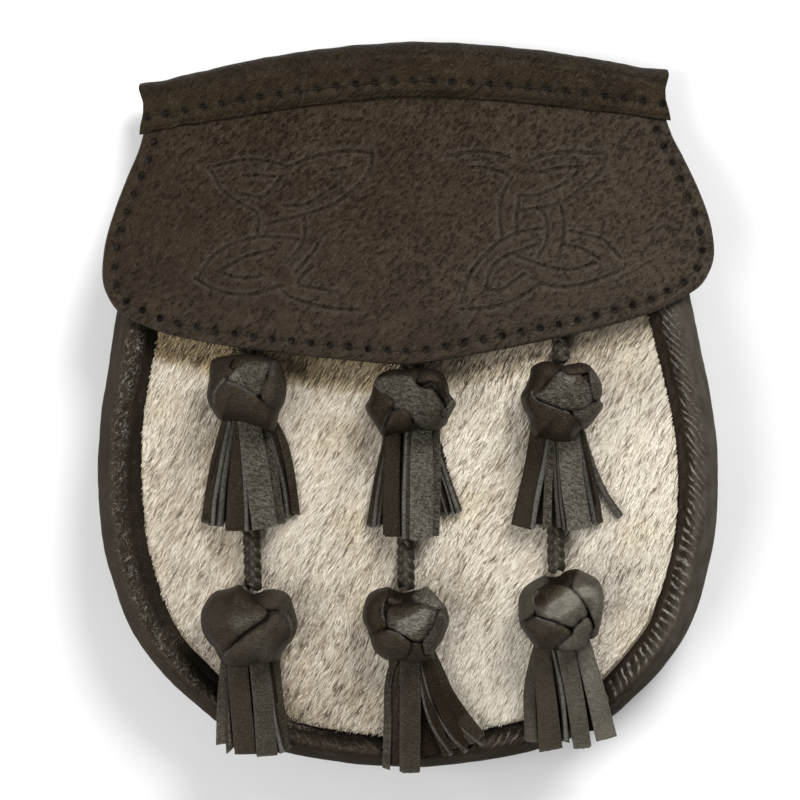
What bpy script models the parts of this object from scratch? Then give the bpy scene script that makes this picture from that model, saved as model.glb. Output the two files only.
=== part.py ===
"""Leather sporran pouch with a hair-on front, a long flap and six tassels.

The pouch lies on its back. X runs across it, Y runs up it towards the waist, and Z runs
out of its front. Z = 0 is the surface that it lies on, and the origin is under the middle
of its outline. Every length here is in millimetres, and new_object() makes it metres.
"""

import math

import bmesh
import bpy
from mathutils import Vector, geometry

MM = 0.001

# Thickness of each leather, and the gaps that keep the pieces apart
LEATHER = 2.0
GUSSET_LEATHER = 1.8
HIDE = 2.5
BINDING_LEATHER = 1.3
LOOP_LEATHER = 1.5
STRIP_LEATHER = 1.3
GAP = 0.3
SHEET_GAP = 0.5

# Half the width of the pouch at each height, from the bottom to the mouth. It sags a little
# to the right at its bottom.
BODY_WIDTH = (
    # y, half width, x of its middle
    (-110.5, 0.0, 1.2),
    (-108.7, 22.0, 1.2),
    (-104.8, 40.8, 1.2),
    (-99.6, 53.8, 1.2),
    (-92.0, 64.6, 1.1),
    (-77.5, 78.6, 0.8),
    (-63.0, 86.6, 0.3),
    (-43.0, 92.1, 0.0),
    (-24.0, 93.8, 0.0),
    (-4.9, 92.8, 0.0),
    (16.8, 89.2, 0.0),
    (40.0, 85.4, 0.0),
    (62.0, 82.5, 0.0),
)
TOP_HALF_WIDTH = 79.4

# The flap and the binding sit a little to the right of the pouch's middle
TOP_SHIFT = 1.9

# The top edge is an arch: its height, its fall to the ends, and how roundly it falls
TOP_Y = 110.5
TOP_ARCH_FALL = 11.4
TOP_ARCH_POWER = 1.8

# Height of the rolled rim. Above the mouth there is no rim, and the flap follows this.
RIM_HEIGHT = (
    # y, z
    (-110.5, 27.0),
    (-80.0, 30.0),
    (-40.0, 33.0),
    (0.0, 33.0),
    (30.0, 30.0),
    (62.0, 19.5),
    (80.0, 13.6),
    (93.0, 10.4),
    (111.0, 10.1),
)
RIM_WIDTH = (
    # y, width of the roll seen from the front
    (-110.5, 10.0),
    (-60.0, 12.2),
    (0.0, 13.2),
    (30.0, 14.2),
    (62.0, 14.2),
)
RIM_RECESS = 5.0

# Section of the side gusset: up the wall from the back panel, then over the padded roll
GUSSET_WALL = (
    # inset from the outline, share of the height up to the roll
    (1.9, 0.0),
    (0.7, 0.25),
    (0.0, 0.55),
    (0.5, 0.82),
)
GUSSET_ROLL = (
    # share of the roll's width, share of the recess below the crest
    (0.17, 0.60),
    (0.32, 0.18),
    (0.50, 0.0),
    (0.68, 0.16),
    (0.84, 0.62),
    (1.0, 1.0),
)
GUSSET_STATIONS = 57

# Front panel
FRONT_DOME = 4.0
FRONT_DOME_REACH = 60.0
MOUTH_ARCH = 5.0
MOUTH_POINTS = 12

# Back panel: flat on the floor, and lifted by the belt loops at its top
BACK_INSET = 1.0
BACK_LIFT = 8.0
BACK_LIFT_FROM = 35.0
BACK_LIFT_TO = 80.0

# Right half of the flap's outline, from under the binding down to the middle
FLAP_OUTLINE = (
    # x, y
    (78.8, 88.0),
    (81.0, 79.5),
    (84.4, 71.5),
    (88.1, 62.0),
    (90.8, 53.0),
    (91.8, 46.0),
    (91.7, 40.5),
    (90.2, 36.0),
    (86.6, 31.0),
    (79.2, 26.8),
    (71.4, 23.6),
    (53.2, 19.2),
    (37.0, 16.4),
    (16.0, 13.2),
    (0.0, 11.3),
)
FLAP_SKEW = 0.019
FLAP_CROWN = 7.0
FLAP_CROWN_HALF_WIDTH = 84.0
FLAP_CROWN_FROM = 36.0
FLAP_CROWN_TO = 86.0
FLAP_DROOP = 0.05
FLAP_DROOP_FROM = 86.5

# Folded binding over the top edges of the back panel and the flap
BINDING_LOW_Y = 93.6
BINDING_LOW_FALL = 9.5
BINDING_LOW_POWER = 1.5
BINDING_FLARE = 1.6
BINDING_BACK_LEG = 11.0
BINDING_GAP = 0.45
EDGE_INSIDE_FOLD = 4.3
FOLD_STEPS = 5

# Belt loops
LOOP_X = 44.0
LOOP_WIDTH = 24.0
LOOP_PATH = (
    # y, z of the underside. The belt lies on the flat between the second row and the third.
    (50.0, 0.25),
    (63.0, 0.0),
    (78.0, 0.0),
    (83.0, 1.6),
    (86.0, 4.6),
    (88.5, 6.1),
    (92.0, 6.1),
)

# Press stud under the flap
STUD_Y = 57.5
STUD_RADIUS = 5.5

# Tassels: a knotted head with a skirt of leather strips
HEAD_DEPTH = 17.0
HEAD_SEAT = 0.6
HEAD_LOBE = 0.045
HEAD_SEGMENTS = 14
HEAD_RINGS = 8
STRIPS = 7
SLIT_SHARES = (0.11, 0.07)
SKIRT_START = 0.5
SKIRT_FLARE = 1.3
SKIRT_WHOLE_ROWS = (0.0, 0.16)
SKIRT_CUT_ROWS = (0.4, 0.65, 0.85, 1.0)
NECK_HALF_WIDTH = 8.6
SKIRT_LOW = 0.8
SKIRT_TOP = 7.9
SKIRT_TOP_ON_RIM = 4.2
SKIRT_RISE_END = 0.65
TASSELS = (
    # name, head x and y, head width and height, skirt's left and right end: across and down
    # from the head's middle, then how much further its last strip strays
    ("upper_left", (-47.0, 4.2), (24.5, 22.4), (-15.2, 37.5), (14.0, 40.0), 0.0),
    ("upper_middle", (1.3, -0.6), (27.0, 21.6), (-14.0, 37.0), (8.0, 40.2), 7.0),
    ("upper_right", (46.0, -0.6), (25.5, 23.4), (-15.2, 36.8), (11.4, 40.0), 7.0),
    ("lower_left", (-48.7, -64.8), (28.4, 22.4), (-10.8, 36.0), (11.6, 40.0), 0.0),
    ("lower_middle", (-1.6, -65.0), (26.4, 21.0), (-7.6, 46.6), (17.5, 41.6), 4.0),
    ("lower_right", (44.0, -62.6), (26.8, 23.6), (-10.6, 40.6), (16.0, 40.6), 1.5),
)

# Braided thongs, from under the flap to the upper heads, and through their skirts to the lower
CORD_RADIUS = 2.65
CORD_POINT_SPACING = 11.6
CORDS = {
    # points (x, y, z) of each middle line from its top end down
    "upper_left": (
        (-47.0, 49.0, 24.9),
        (-47.0, 40.7, 28.0),
        (-47.0, 32.4, 30.3),
        (-47.0, 24.0, 31.9),
        (-47.0, 15.7, 34.0),
    ),
    "upper_middle": (
        (1.3, 49.0, 26.4),
        (1.3, 39.4, 29.8),
        (1.3, 29.8, 32.2),
        (1.3, 20.1, 33.7),
        (1.3, 10.5, 35.6),
    ),
    "upper_right": (
        (46.4, 49.0, 24.9),
        (46.5, 39.6, 28.4),
        (46.6, 30.2, 30.8),
        (46.6, 20.8, 32.5),
        (46.4, 11.4, 34.5),
    ),
    "lower_left": (
        (-47.0, -7.3, 34.3),
        (-47.2, -16.5, 34.3),
        (-47.2, -25.7, 34.4),
        (-47.1, -34.9, 34.5),
        (-46.9, -44.1, 34.8),
        (-46.9, -53.3, 35.3),
    ),
    "lower_middle": (
        (1.3, -11.7, 35.1),
        (0.6, -20.2, 35.1),
        (-0.2, -28.7, 35.2),
        (-1.0, -37.2, 35.4),
        (-1.3, -45.7, 35.7),
        (-1.5, -54.2, 36.2),
    ),
    "lower_right": (
        (45.6, -12.6, 34.4),
        (44.6, -20.2, 34.4),
        (44.0, -27.8, 34.5),
        (43.6, -35.3, 34.7),
        (43.4, -42.9, 35.1),
        (43.4, -50.5, 35.9),
    ),
}

SHARP_ANGLE = math.radians(40)
LEATHER_BROWN = (0.040, 0.030, 0.022, 1.0)
LEATHER_BLACK = (0.030, 0.026, 0.021, 1.0)
HIDE_GREY = (0.60, 0.53, 0.44, 1.0)
STUD_METAL = (0.55, 0.53, 0.50, 1.0)


# ---------------------------------------------------------------- curves and tables


def smooth_value(rows, at):
    """Value of a two-column table at a place, on a curve through its rows that has no overshoot."""
    places = [row[0] for row in rows]
    values = [row[1] for row in rows]
    at = min(max(at, places[0]), places[-1])
    slopes = [
        (values[k + 1] - values[k]) / (places[k + 1] - places[k])
        for k in range(len(rows) - 1)
    ]

    def tangent(k):
        before = slopes[max(k - 1, 0)]
        after = slopes[min(k, len(slopes) - 1)]
        return 2 * before * after / (before + after) if before * after > 0 else 0.0

    k = max(i for i in range(len(rows) - 1) if places[i] <= at)
    span = places[k + 1] - places[k]
    t = (at - places[k]) / span
    return (
        values[k] * (1 + 2 * t) * (1 - t) ** 2
        + tangent(k) * span * t * (1 - t) ** 2
        + values[k + 1] * t * t * (3 - 2 * t)
        + tangent(k + 1) * span * t * t * (t - 1)
    )


def ease(low, high, at):
    """0 below low, 1 above high, and a smooth step between them."""
    t = min(max((at - low) / (high - low), 0.0), 1.0)
    return t * t * (3 - 2 * t)


def mix(a, b, t):
    return a + (b - a) * t


def smooth_line(points, steps=12):
    """A dense line along a smooth curve through these points."""
    points = [Vector(point) for point in points]
    ends = [2 * points[0] - points[1]] + points + [2 * points[-1] - points[-2]]
    line = []
    for a, b, c, d in zip(ends, ends[1:], ends[2:], ends[3:]):
        for step in range(steps):
            t = step / steps
            line.append(
                0.5
                * (
                    2 * b
                    + (c - a) * t
                    + (2 * a - 5 * b + 4 * c - d) * t**2
                    + (3 * b - a - 3 * c + d) * t**3
                )
            )
    return line + [points[-1]]


def even_points(line, count):
    """This many points at even distances along a line."""
    lengths = [0.0]
    for a, b in zip(line, line[1:]):
        lengths.append(lengths[-1] + (b - a).length)
    points = []
    k = 0
    for i in range(count):
        target = lengths[-1] * i / (count - 1)
        while k < len(line) - 2 and lengths[k + 1] < target:
            k += 1
        t = (target - lengths[k]) / (lengths[k + 1] - lengths[k])
        points.append(line[k].lerp(line[k + 1], min(t, 1.0)))
    return points


# ---------------------------------------------------------------- shape of the pouch


def body_line():
    """Outline from the mouth's left end down, round the bottom and up to its right end."""
    right = [(middle + half, y) for y, half, middle in BODY_WIDTH]
    left = [(middle - half, y) for y, half, middle in BODY_WIDTH[:0:-1]]
    return smooth_line(left + right)


BODY_LINE = body_line()
STATIONS = even_points(BODY_LINE, GUSSET_STATIONS)


def inset(k, distance):
    """The point this far inside the outline, seen from one of its stations."""
    before = STATIONS[max(k - 1, 0)]
    after = STATIONS[min(k + 1, len(STATIONS) - 1)]
    along = (after - before).normalized()
    return STATIONS[k] + distance * Vector((-along.y, along.x))


def rim_height(y):
    return smooth_value(RIM_HEIGHT, y)


def rim_width(y):
    return smooth_value(RIM_WIDTH, y)


def depth_inside(x, y):
    """Distance from a point inside the pouch to its outline."""
    return min((point - Vector((x, y))).length for point in BODY_LINE)


def panel_height(x, y):
    """Top of the front panel, which swells gently from its edge."""
    reach = (depth_inside(x, y) - rim_width(y)) / FRONT_DOME_REACH
    swell = 1 - (1 - min(max(reach, 0.0), 1.0)) ** 2
    return rim_height(y) - RIM_RECESS + FRONT_DOME * swell


def back_height(x, y):
    """Underside of the back panel."""
    return BACK_LIFT * ease(BACK_LIFT_FROM, BACK_LIFT_TO, y)


def top_edge(x):
    """Height of the arched top edge at a distance from its own middle."""
    return TOP_Y - TOP_ARCH_FALL * (abs(x) / TOP_HALF_WIDTH) ** TOP_ARCH_POWER


def flap_height(x, y):
    """Underside of the flap: on the rim at its sides, and lifted by the thongs in its middle."""
    fade = 1 - ease(FLAP_CROWN_FROM, FLAP_CROWN_TO, y)
    crown = FLAP_CROWN * fade * max(0.0, 1 - (x / FLAP_CROWN_HALF_WIDTH) ** 2)
    droop = FLAP_DROOP * max(0.0, abs(x) - FLAP_DROOP_FROM) ** 2
    return rim_height(y) + GAP + crown - droop


# ---------------------------------------------------------------- objects


def principled(name, colour, roughness, metallic=0.0):
    material = bpy.data.materials.new(name)
    material.use_nodes = True
    shader = material.node_tree.nodes["Principled BSDF"]
    shader.inputs["Base Color"].default_value = colour
    shader.inputs["Roughness"].default_value = roughness
    shader.inputs["Metallic"].default_value = metallic
    material.diffuse_color = colour
    return material


def new_object(name, bm, material, collection):
    """Makes an object of a mesh drawn in millimetres."""
    bmesh.ops.scale(bm, vec=(MM, MM, MM), verts=bm.verts)
    mesh = bpy.data.meshes.new(name)
    bm.to_mesh(mesh)
    bm.free()
    mesh.materials.append(material)
    mesh.shade_smooth()
    mesh.set_sharp_from_angle(angle=SHARP_ANGLE)
    obj = bpy.data.objects.new(name, mesh)
    collection.objects.link(obj)
    return obj


def thicken(obj, thickness, offset):
    """Makes an open surface a wall: offset 1 adds it along the normals, and -1 against them."""
    shell = obj.modifiers.new("Thickness", "SOLIDIFY")
    shell.thickness = thickness * MM
    shell.offset = offset
    shell.use_even_offset = True
    return obj


def sheet_mesh(outline, height, spacing):
    """A sheet inside an outline, with its normals up and its height given by a function."""
    inside = []
    low_x = min(point[0] for point in outline)
    low_y = min(point[1] for point in outline)
    columns = int((max(point[0] for point in outline) - low_x) / spacing) + 1
    rows = int((max(point[1] for point in outline) - low_y) / spacing) + 1
    for row in range(rows):
        for column in range(columns):
            x = low_x + (column + 0.5 * (row % 2) + 0.25) * spacing
            y = low_y + (row + 0.5) * spacing
            nearest = min((Vector(point) - Vector((x, y))).length for point in outline)
            if nearest > 0.6 * spacing and within(outline, x, y):
                inside.append((x, y))
    points = [Vector(point) for point in list(outline) + inside]
    found = geometry.delaunay_2d_cdt(
        points, [], [list(range(len(outline)))], 1, 1e-6
    )
    bm = bmesh.new()
    verts = [bm.verts.new((p.x, p.y, height(p.x, p.y))) for p in found[0]]
    for face in found[2]:
        bm.faces.new([verts[i] for i in face])
    for face in bm.faces:
        face.normal_update()
        if face.normal.z < 0:
            face.normal_flip()
    return bm


def within(outline, x, y):
    """Whether a point lies inside a closed outline."""
    count = 0
    for (ax, ay), (bx, by) in zip(outline, outline[1:] + outline[:1]):
        if (ay > y) != (by > y) and x < ax + (y - ay) * (bx - ax) / (by - ay):
            count += 1
    return count % 2 == 1


def grid_mesh(rows):
    """An open surface through rows of points, each row with the same number of them."""
    bm = bmesh.new()
    verts = [[bm.verts.new(point) for point in row] for row in rows]
    for a, b in zip(verts, verts[1:]):
        for k in range(len(a) - 1):
            bm.faces.new((a[k], a[k + 1], b[k + 1], b[k]))
    return bm


# ---------------------------------------------------------------- pouch


def back_panel(material, collection):
    outline = [tuple(inset(k, BACK_INSET)) for k in range(len(STATIONS))]
    side_x = TOP_HALF_WIDTH - BACK_INSET
    corner_y = top_edge(side_x) - EDGE_INSIDE_FOLD
    mouth_x, mouth_y = outline[-1]
    for t in (1 / 3, 2 / 3):
        outline.append((mix(mouth_x, side_x + TOP_SHIFT, t), mix(mouth_y, corner_y, t)))
    for x in arch_places(side_x):
        outline.append((x + TOP_SHIFT, top_edge(x) - EDGE_INSIDE_FOLD))
    for t in (2 / 3, 1 / 3):
        outline.append((mix(-mouth_x, TOP_SHIFT - side_x, t), mix(mouth_y, corner_y, t)))
    bm = sheet_mesh(outline, back_height, spacing=12.0)
    return thicken(new_object("back_panel", bm, material, collection), LEATHER, 1)


def arch_places(half_width, spans=14):
    """Places across the top edge, from right to left."""
    return [half_width * math.cos(math.pi * k / spans) for k in range(spans + 1)]


def gusset_section(k):
    """One section of the gusset, from its foot on the back panel over the roll to the front."""
    y = STATIONS[k].y
    crest = rim_height(y)
    foot = back_height(0.0, y) + LEATHER + SHEET_GAP
    shoulder = crest - GUSSET_ROLL[0][1] * RIM_RECESS
    points = []
    for distance, share in GUSSET_WALL:
        points.append((*inset(k, distance), mix(foot, shoulder, share)))
    for share, drop in GUSSET_ROLL:
        points.append((*inset(k, share * rim_width(y)), crest - drop * RIM_RECESS))
    return points


def side_gusset(material, collection):
    sections = [gusset_section(k) for k in range(len(STATIONS))]
    bm = grid_mesh(sections)
    obj = new_object("side_gusset", bm, material, collection)
    return thicken(obj, GUSSET_LEATHER, 1)


def front_panel(material, collection):
    outline = []
    for k, station in enumerate(STATIONS):
        outline.append(tuple(inset(k, rim_width(station.y) + GAP)))
    end_x, end_y = outline[-1]
    for k in range(1, MOUTH_POINTS + 1):
        x = end_x * (1 - 2 * k / (MOUTH_POINTS + 1))
        outline.append((x, end_y + MOUTH_ARCH * (1 - (x / end_x) ** 2)))
    bm = sheet_mesh(outline, panel_height, spacing=12.5)
    return thicken(new_object("front_panel", bm, material, collection), HIDE, -1)


def flap(material, collection):
    side = smooth_line(FLAP_OUTLINE, 6)
    right = even_points(side, 21)[:-1]
    outline = [tuple(point) for point in right]
    outline.append(FLAP_OUTLINE[-1])
    outline += [(-x, y) for x, y in outline[-2::-1]]
    top_x = FLAP_OUTLINE[0][0]
    for x in reversed(arch_places(top_x)):
        outline.append((x, top_edge(x) - EDGE_INSIDE_FOLD))
    leaning = []
    for x, y in outline:
        hang = 1 - ease(30.0, FLAP_OUTLINE[0][1], y)
        leaning.append((x + TOP_SHIFT, y + FLAP_SKEW * x * hang))
    bm = sheet_mesh(leaning, flap_height, spacing=10.5)
    return thicken(new_object("flap", bm, material, collection), LEATHER, 1)


def binding_section(share):
    """Outer surface of the binding at one place across: front leg, fold, back leg."""
    x = share * TOP_HALF_WIDTH
    top = top_edge(x)
    low = BINDING_LOW_Y - BINDING_LOW_FALL * abs(share) ** BINDING_LOW_POWER
    lift = LEATHER + BINDING_GAP + BINDING_LEATHER
    back = BACK_LIFT - BINDING_GAP - BINDING_LEATHER
    front = flap_height(x + TOP_SHIFT, top) + lift
    radius = (front - back) / 2
    points = []
    for k in range(4):
        y = mix(low, top - radius, k / 4)
        points.append((y, flap_height(x + TOP_SHIFT, y) + lift))
    for k in range(FOLD_STEPS + 1):
        angle = math.pi / 2 - math.pi * k / FOLD_STEPS
        y = top - radius + radius * math.cos(angle)
        points.append((y, back + radius + radius * math.sin(angle)))
    points.append((top - BINDING_BACK_LEG, back))
    flare = BINDING_FLARE / (TOP_Y - BINDING_LOW_Y)
    return [(x + TOP_SHIFT + share * flare * (top - y), y, z) for y, z in points]


def top_binding(material, collection):
    spans = 18
    sections = [binding_section(2 * k / spans - 1) for k in range(spans + 1)]
    obj = new_object("top_binding", grid_mesh(sections), material, collection)
    return thicken(obj, BINDING_LEATHER, 1)


def belt_loop(name, x, material, collection):
    rows = []
    for y, z in LOOP_PATH:
        rows.append([(x - LOOP_WIDTH / 2, y, z), (x + LOOP_WIDTH / 2, y, z)])
    obj = new_object(name, grid_mesh(rows), material, collection)
    return thicken(obj, LOOP_LEATHER, 1)


def closure_stud(material, collection):
    """A turned stud between the front panel and the flap, square to the panel."""
    low = panel_height(0.0, STUD_Y)
    ends = (STUD_Y - STUD_RADIUS, STUD_Y + STUD_RADIUS)
    fall = panel_height(0.0, ends[0]) - panel_height(0.0, ends[1])
    slope = -math.atan2(fall, 2 * STUD_RADIUS)
    room = min(flap_height(0.0, y) - panel_height(0.0, y) for y in ends)
    room = room * math.cos(slope) - 2 * SHEET_GAP
    profile = (
        (0.0, room),
        (0.8 * STUD_RADIUS, room),
        (STUD_RADIUS, 0.8 * room),
        (STUD_RADIUS, 0.55 * room),
        (0.7 * STUD_RADIUS, 0.45 * room),
        (STUD_RADIUS, 0.3 * room),
        (STUD_RADIUS, 0.0),
        (0.0, 0.0),
    )
    bm = bmesh.new()
    verts = [bm.verts.new((radius, 0.0, z)) for radius, z in profile]
    for a, b in zip(verts, verts[1:]):
        bm.edges.new((a, b))
    obj = new_object("closure_stud", bm, material, collection)
    turn = obj.modifiers.new("Turn", "SCREW")
    turn.steps = turn.render_steps = 16
    turn.use_merge_vertices = True
    turn.merge_threshold = 0.00001
    obj.location = Vector((0.0, STUD_Y, low + SHEET_GAP)) * MM
    obj.rotation_euler = (slope, 0.0, 0.0)
    return obj


# ---------------------------------------------------------------- tassels and thongs


def head_mesh(place, size):
    """Knotted head: a flattened ball with the low lobes of its wrapped leather."""
    width, height = size
    bm = bmesh.new()
    bmesh.ops.create_uvsphere(
        bm, u_segments=HEAD_SEGMENTS, v_segments=HEAD_RINGS, radius=1.0
    )
    centre = head_centre(*place)
    for vert in bm.verts:
        turn = math.atan2(vert.co.y, vert.co.x)
        lobe = 1 - HEAD_LOBE * (1 + math.cos(3 * turn + 2 * vert.co.z))
        vert.co = centre + Vector(
            (
                vert.co.x * lobe * width / 2,
                vert.co.z * lobe * height / 2,
                -vert.co.y * lobe * HEAD_DEPTH / 2,
            )
        )
    return bm


def head_centre(x, y):
    return Vector((x, y, panel_height(x, y) + HEAD_SEAT + HEAD_DEPTH / 2))


def skirt_point(tassel, share, t, stray=0.0):
    """A point of a skirt's outer surface: share is the way across it, and t the way down."""
    name, (head_x, head_y), (_, height), (left, left_fall), (right, right_fall), _ = tassel
    turn = math.pi * (1 - share)
    across = (1 + math.cos(turn)) / 2
    start_y = head_y - SKIRT_START * height / 2
    end_y = head_y - mix(left_fall, right_fall, across)
    end_x = head_x + mix(left, right, across)
    neck_x = head_x + NECK_HALF_WIDTH * math.cos(turn)
    x = mix(neck_x, end_x, t**SKIRT_FLARE) + stray * t**2
    if name.startswith("lower"):
        end_z, top_end = rim_height(end_y) + GAP, SKIRT_TOP_ON_RIM
        z = mix(panel_height(head_x, start_y), end_z, ease(0.0, SKIRT_RISE_END, t))
    else:
        end_z, top_end = panel_height(end_x + stray, end_y), SKIRT_TOP
        z = mix(panel_height(head_x, start_y), end_z, t)
    arch = mix(SKIRT_LOW, mix(SKIRT_TOP, top_end, t), math.sin(turn))
    return (x, mix(start_y, end_y, t), z + arch)


def skirt_mesh(tassel):
    """A skirt as one arched sheet of leather, slit into strips below its neck."""
    bm = bmesh.new()
    whole = [
        [bm.verts.new(skirt_point(tassel, k / STRIPS, t)) for k in range(STRIPS + 1)]
        for t in SKIRT_WHOLE_ROWS
    ]
    for above, below in zip(whole, whole[1:]):
        for k in range(STRIPS):
            bm.faces.new((above[k], below[k], below[k + 1], above[k + 1]))
    for k in range(STRIPS):
        left, right = whole[-1][k], whole[-1][k + 1]
        slit = SLIT_SHARES[k % 2]
        stray = tassel[-1] if k == STRIPS - 1 else 0.0
        for t in SKIRT_CUT_ROWS:
            next_left = skirt_point(tassel, (k + slit) / STRIPS, t, stray)
            next_right = skirt_point(tassel, (k + 1 - slit) / STRIPS, t, stray)
            next_left, next_right = bm.verts.new(next_left), bm.verts.new(next_right)
            bm.faces.new((left, next_left, next_right, right))
            left, right = next_left, next_right
    return bm


def tassel_object(tassel, material, collection, helpers):
    """A head joined to its skirt."""
    name = tassel[0]
    head = new_object(f"tassel_{name}", head_mesh(*tassel[1:3]), material, collection)
    skirt = new_object(f"skirt_{name}", skirt_mesh(tassel), material, helpers)
    thicken(skirt, STRIP_LEATHER, -1)
    skirt.hide_render = True
    skirt.display_type = "WIRE"
    join = head.modifiers.new("Skirt", "BOOLEAN")
    join.operation = "UNION"
    join.solver = "EXACT"
    join.object = skirt
    return head


def cord_object(name, points, material, collection):
    """A braided thong as a round tube along a smooth curve through its points."""
    curve = bpy.data.curves.new(name, "CURVE")
    curve.dimensions = "3D"
    curve.bevel_depth = CORD_RADIUS * MM
    curve.bevel_resolution = 2
    curve.use_fill_caps = True
    line = smooth_line(points, 8)
    length = sum((b - a).length for a, b in zip(line, line[1:]))
    line = even_points(line, round(length / CORD_POINT_SPACING) + 2)
    spline = curve.splines.new("POLY")
    spline.points.add(len(line) - 1)
    for point, place in zip(spline.points, line):
        point.co = (*(place * MM), 1.0)
    curve.materials.append(material)
    obj = bpy.data.objects.new(name, curve)
    collection.objects.link(obj)
    return obj


def build():
    for obj in list(bpy.data.objects):
        bpy.data.objects.remove(obj)
    parts = bpy.data.collections.new("Sporran Pouch")
    helpers = bpy.data.collections.new("Helpers")
    for collection in (parts, helpers):
        bpy.context.scene.collection.children.link(collection)
    brown = principled("brown_leather", LEATHER_BROWN, 0.55)
    black = principled("black_leather", LEATHER_BLACK, 0.5)
    hide = principled("hair_on_hide", HIDE_GREY, 0.8)
    metal = principled("stud_metal", STUD_METAL, 0.3, 1.0)

    back_panel(brown, parts)
    side_gusset(brown, parts)
    front_panel(hide, parts)
    flap(brown, parts)
    top_binding(brown, parts)
    belt_loop("belt_loop_left", -LOOP_X, brown, parts)
    belt_loop("belt_loop_right", LOOP_X, brown, parts)
    closure_stud(metal, parts)
    for tassel in TASSELS:
        tassel_object(tassel, black, parts, helpers)
    for name, points in CORDS.items():
        cord_object(f"cord_{name}", points, black, parts)


build()
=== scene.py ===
"""Leather sporran pouch lying on its back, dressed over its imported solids.

X runs across the pouch, Y runs up it and Z runs out of its front. Sizes are in millimetres,
like the solids they follow, and build() makes them metres. The tables of the heads and the
strips hold places read in the photograph, in its pixels, which seen() turns into millimetres.
"""

import math

import bpy
import numpy as np
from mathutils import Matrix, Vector, geometry

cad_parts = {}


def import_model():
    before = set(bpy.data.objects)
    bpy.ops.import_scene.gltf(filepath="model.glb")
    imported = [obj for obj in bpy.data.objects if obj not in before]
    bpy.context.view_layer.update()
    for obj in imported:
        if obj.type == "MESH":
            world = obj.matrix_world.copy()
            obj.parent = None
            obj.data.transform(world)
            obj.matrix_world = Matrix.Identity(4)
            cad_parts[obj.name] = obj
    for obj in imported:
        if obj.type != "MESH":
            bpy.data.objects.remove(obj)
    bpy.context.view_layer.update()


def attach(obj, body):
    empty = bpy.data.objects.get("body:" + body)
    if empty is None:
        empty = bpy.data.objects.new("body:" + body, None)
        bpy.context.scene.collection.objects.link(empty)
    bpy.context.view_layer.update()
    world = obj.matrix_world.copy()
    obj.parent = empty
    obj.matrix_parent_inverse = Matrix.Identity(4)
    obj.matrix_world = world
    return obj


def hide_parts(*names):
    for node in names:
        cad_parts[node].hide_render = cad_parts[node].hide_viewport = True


MM = 0.001

# ---------------------------------------------------------------- sizes shared with the solids

LEATHER = 2.0
GUSSET_LEATHER = 1.8
HIDE = 2.5
BINDING_LEATHER = 1.3
GAP = 0.3
SHEET_GAP = 0.5

BODY_WIDTH = (
    # y, half width, x of its middle
    (-110.5, 0.0, 1.2), (-108.7, 22.0, 1.2), (-104.8, 40.8, 1.2), (-99.6, 53.8, 1.2),
    (-92.0, 64.6, 1.1), (-77.5, 78.6, 0.8), (-63.0, 86.6, 0.3), (-43.0, 92.1, 0.0),
    (-24.0, 93.8, 0.0), (-4.9, 92.8, 0.0), (16.8, 89.2, 0.0), (40.0, 85.4, 0.0),
    (62.0, 82.5, 0.0),
)
TOP_HALF_WIDTH = 79.4
TOP_SHIFT = 1.9
TOP_Y = 110.5
TOP_ARCH_FALL = 11.4
TOP_ARCH_POWER = 1.8

RIM_HEIGHT = (
    # y, z
    (-110.5, 27.0), (-80.0, 30.0), (-40.0, 33.0), (0.0, 33.0), (30.0, 30.0),
    (62.0, 19.5), (80.0, 13.6), (93.0, 10.4), (111.0, 10.1),
)
RIM_WIDTH = (
    # y, width of the roll seen from the front
    (-110.5, 10.0), (-60.0, 12.2), (0.0, 13.2), (30.0, 14.2), (62.0, 14.2),
)
RIM_RECESS = 5.0
# Distance from the outline, share of the wall's height
GUSSET_WALL = ((1.9, 0.0), (0.7, 0.25), (0.0, 0.55), (0.5, 0.82))
# Share of the roll's width, share of the recess below the crest
GUSSET_ROLL = ((0.17, 0.60), (0.32, 0.18), (0.50, 0.0), (0.68, 0.16), (0.84, 0.62), (1.0, 1.0))
FRONT_DOME = 4.0
FRONT_DOME_REACH = 60.0
MOUTH_ARCH = 5.0
BACK_LIFT = 8.0
BACK_LIFT_FROM = 35.0
BACK_LIFT_TO = 80.0

FLAP_OUTLINE = (
    # x, y of the right half, from under the binding down to the middle
    (78.8, 88.0), (81.0, 79.5), (84.4, 71.5), (88.1, 62.0), (90.8, 53.0),
    (91.8, 46.0), (91.7, 40.5), (90.2, 36.0), (86.6, 31.0), (79.2, 26.8),
    (71.4, 23.6), (53.2, 19.2), (37.0, 16.4), (16.0, 13.2), (0.0, 11.3),
)
FLAP_SKEW = 0.019
FLAP_CROWN = 7.0
FLAP_CROWN_HALF_WIDTH = 84.0
FLAP_CROWN_FROM = 36.0
FLAP_CROWN_TO = 86.0
FLAP_DROOP = 0.05
FLAP_DROOP_FROM = 86.5

BINDING_LOW_Y = 93.6
BINDING_LOW_FALL = 9.5
BINDING_LOW_POWER = 1.5
BINDING_FLARE = 1.6
BINDING_BACK_LEG = 11.0
BINDING_GAP = 0.45
EDGE_INSIDE_FOLD = 4.3

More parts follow.
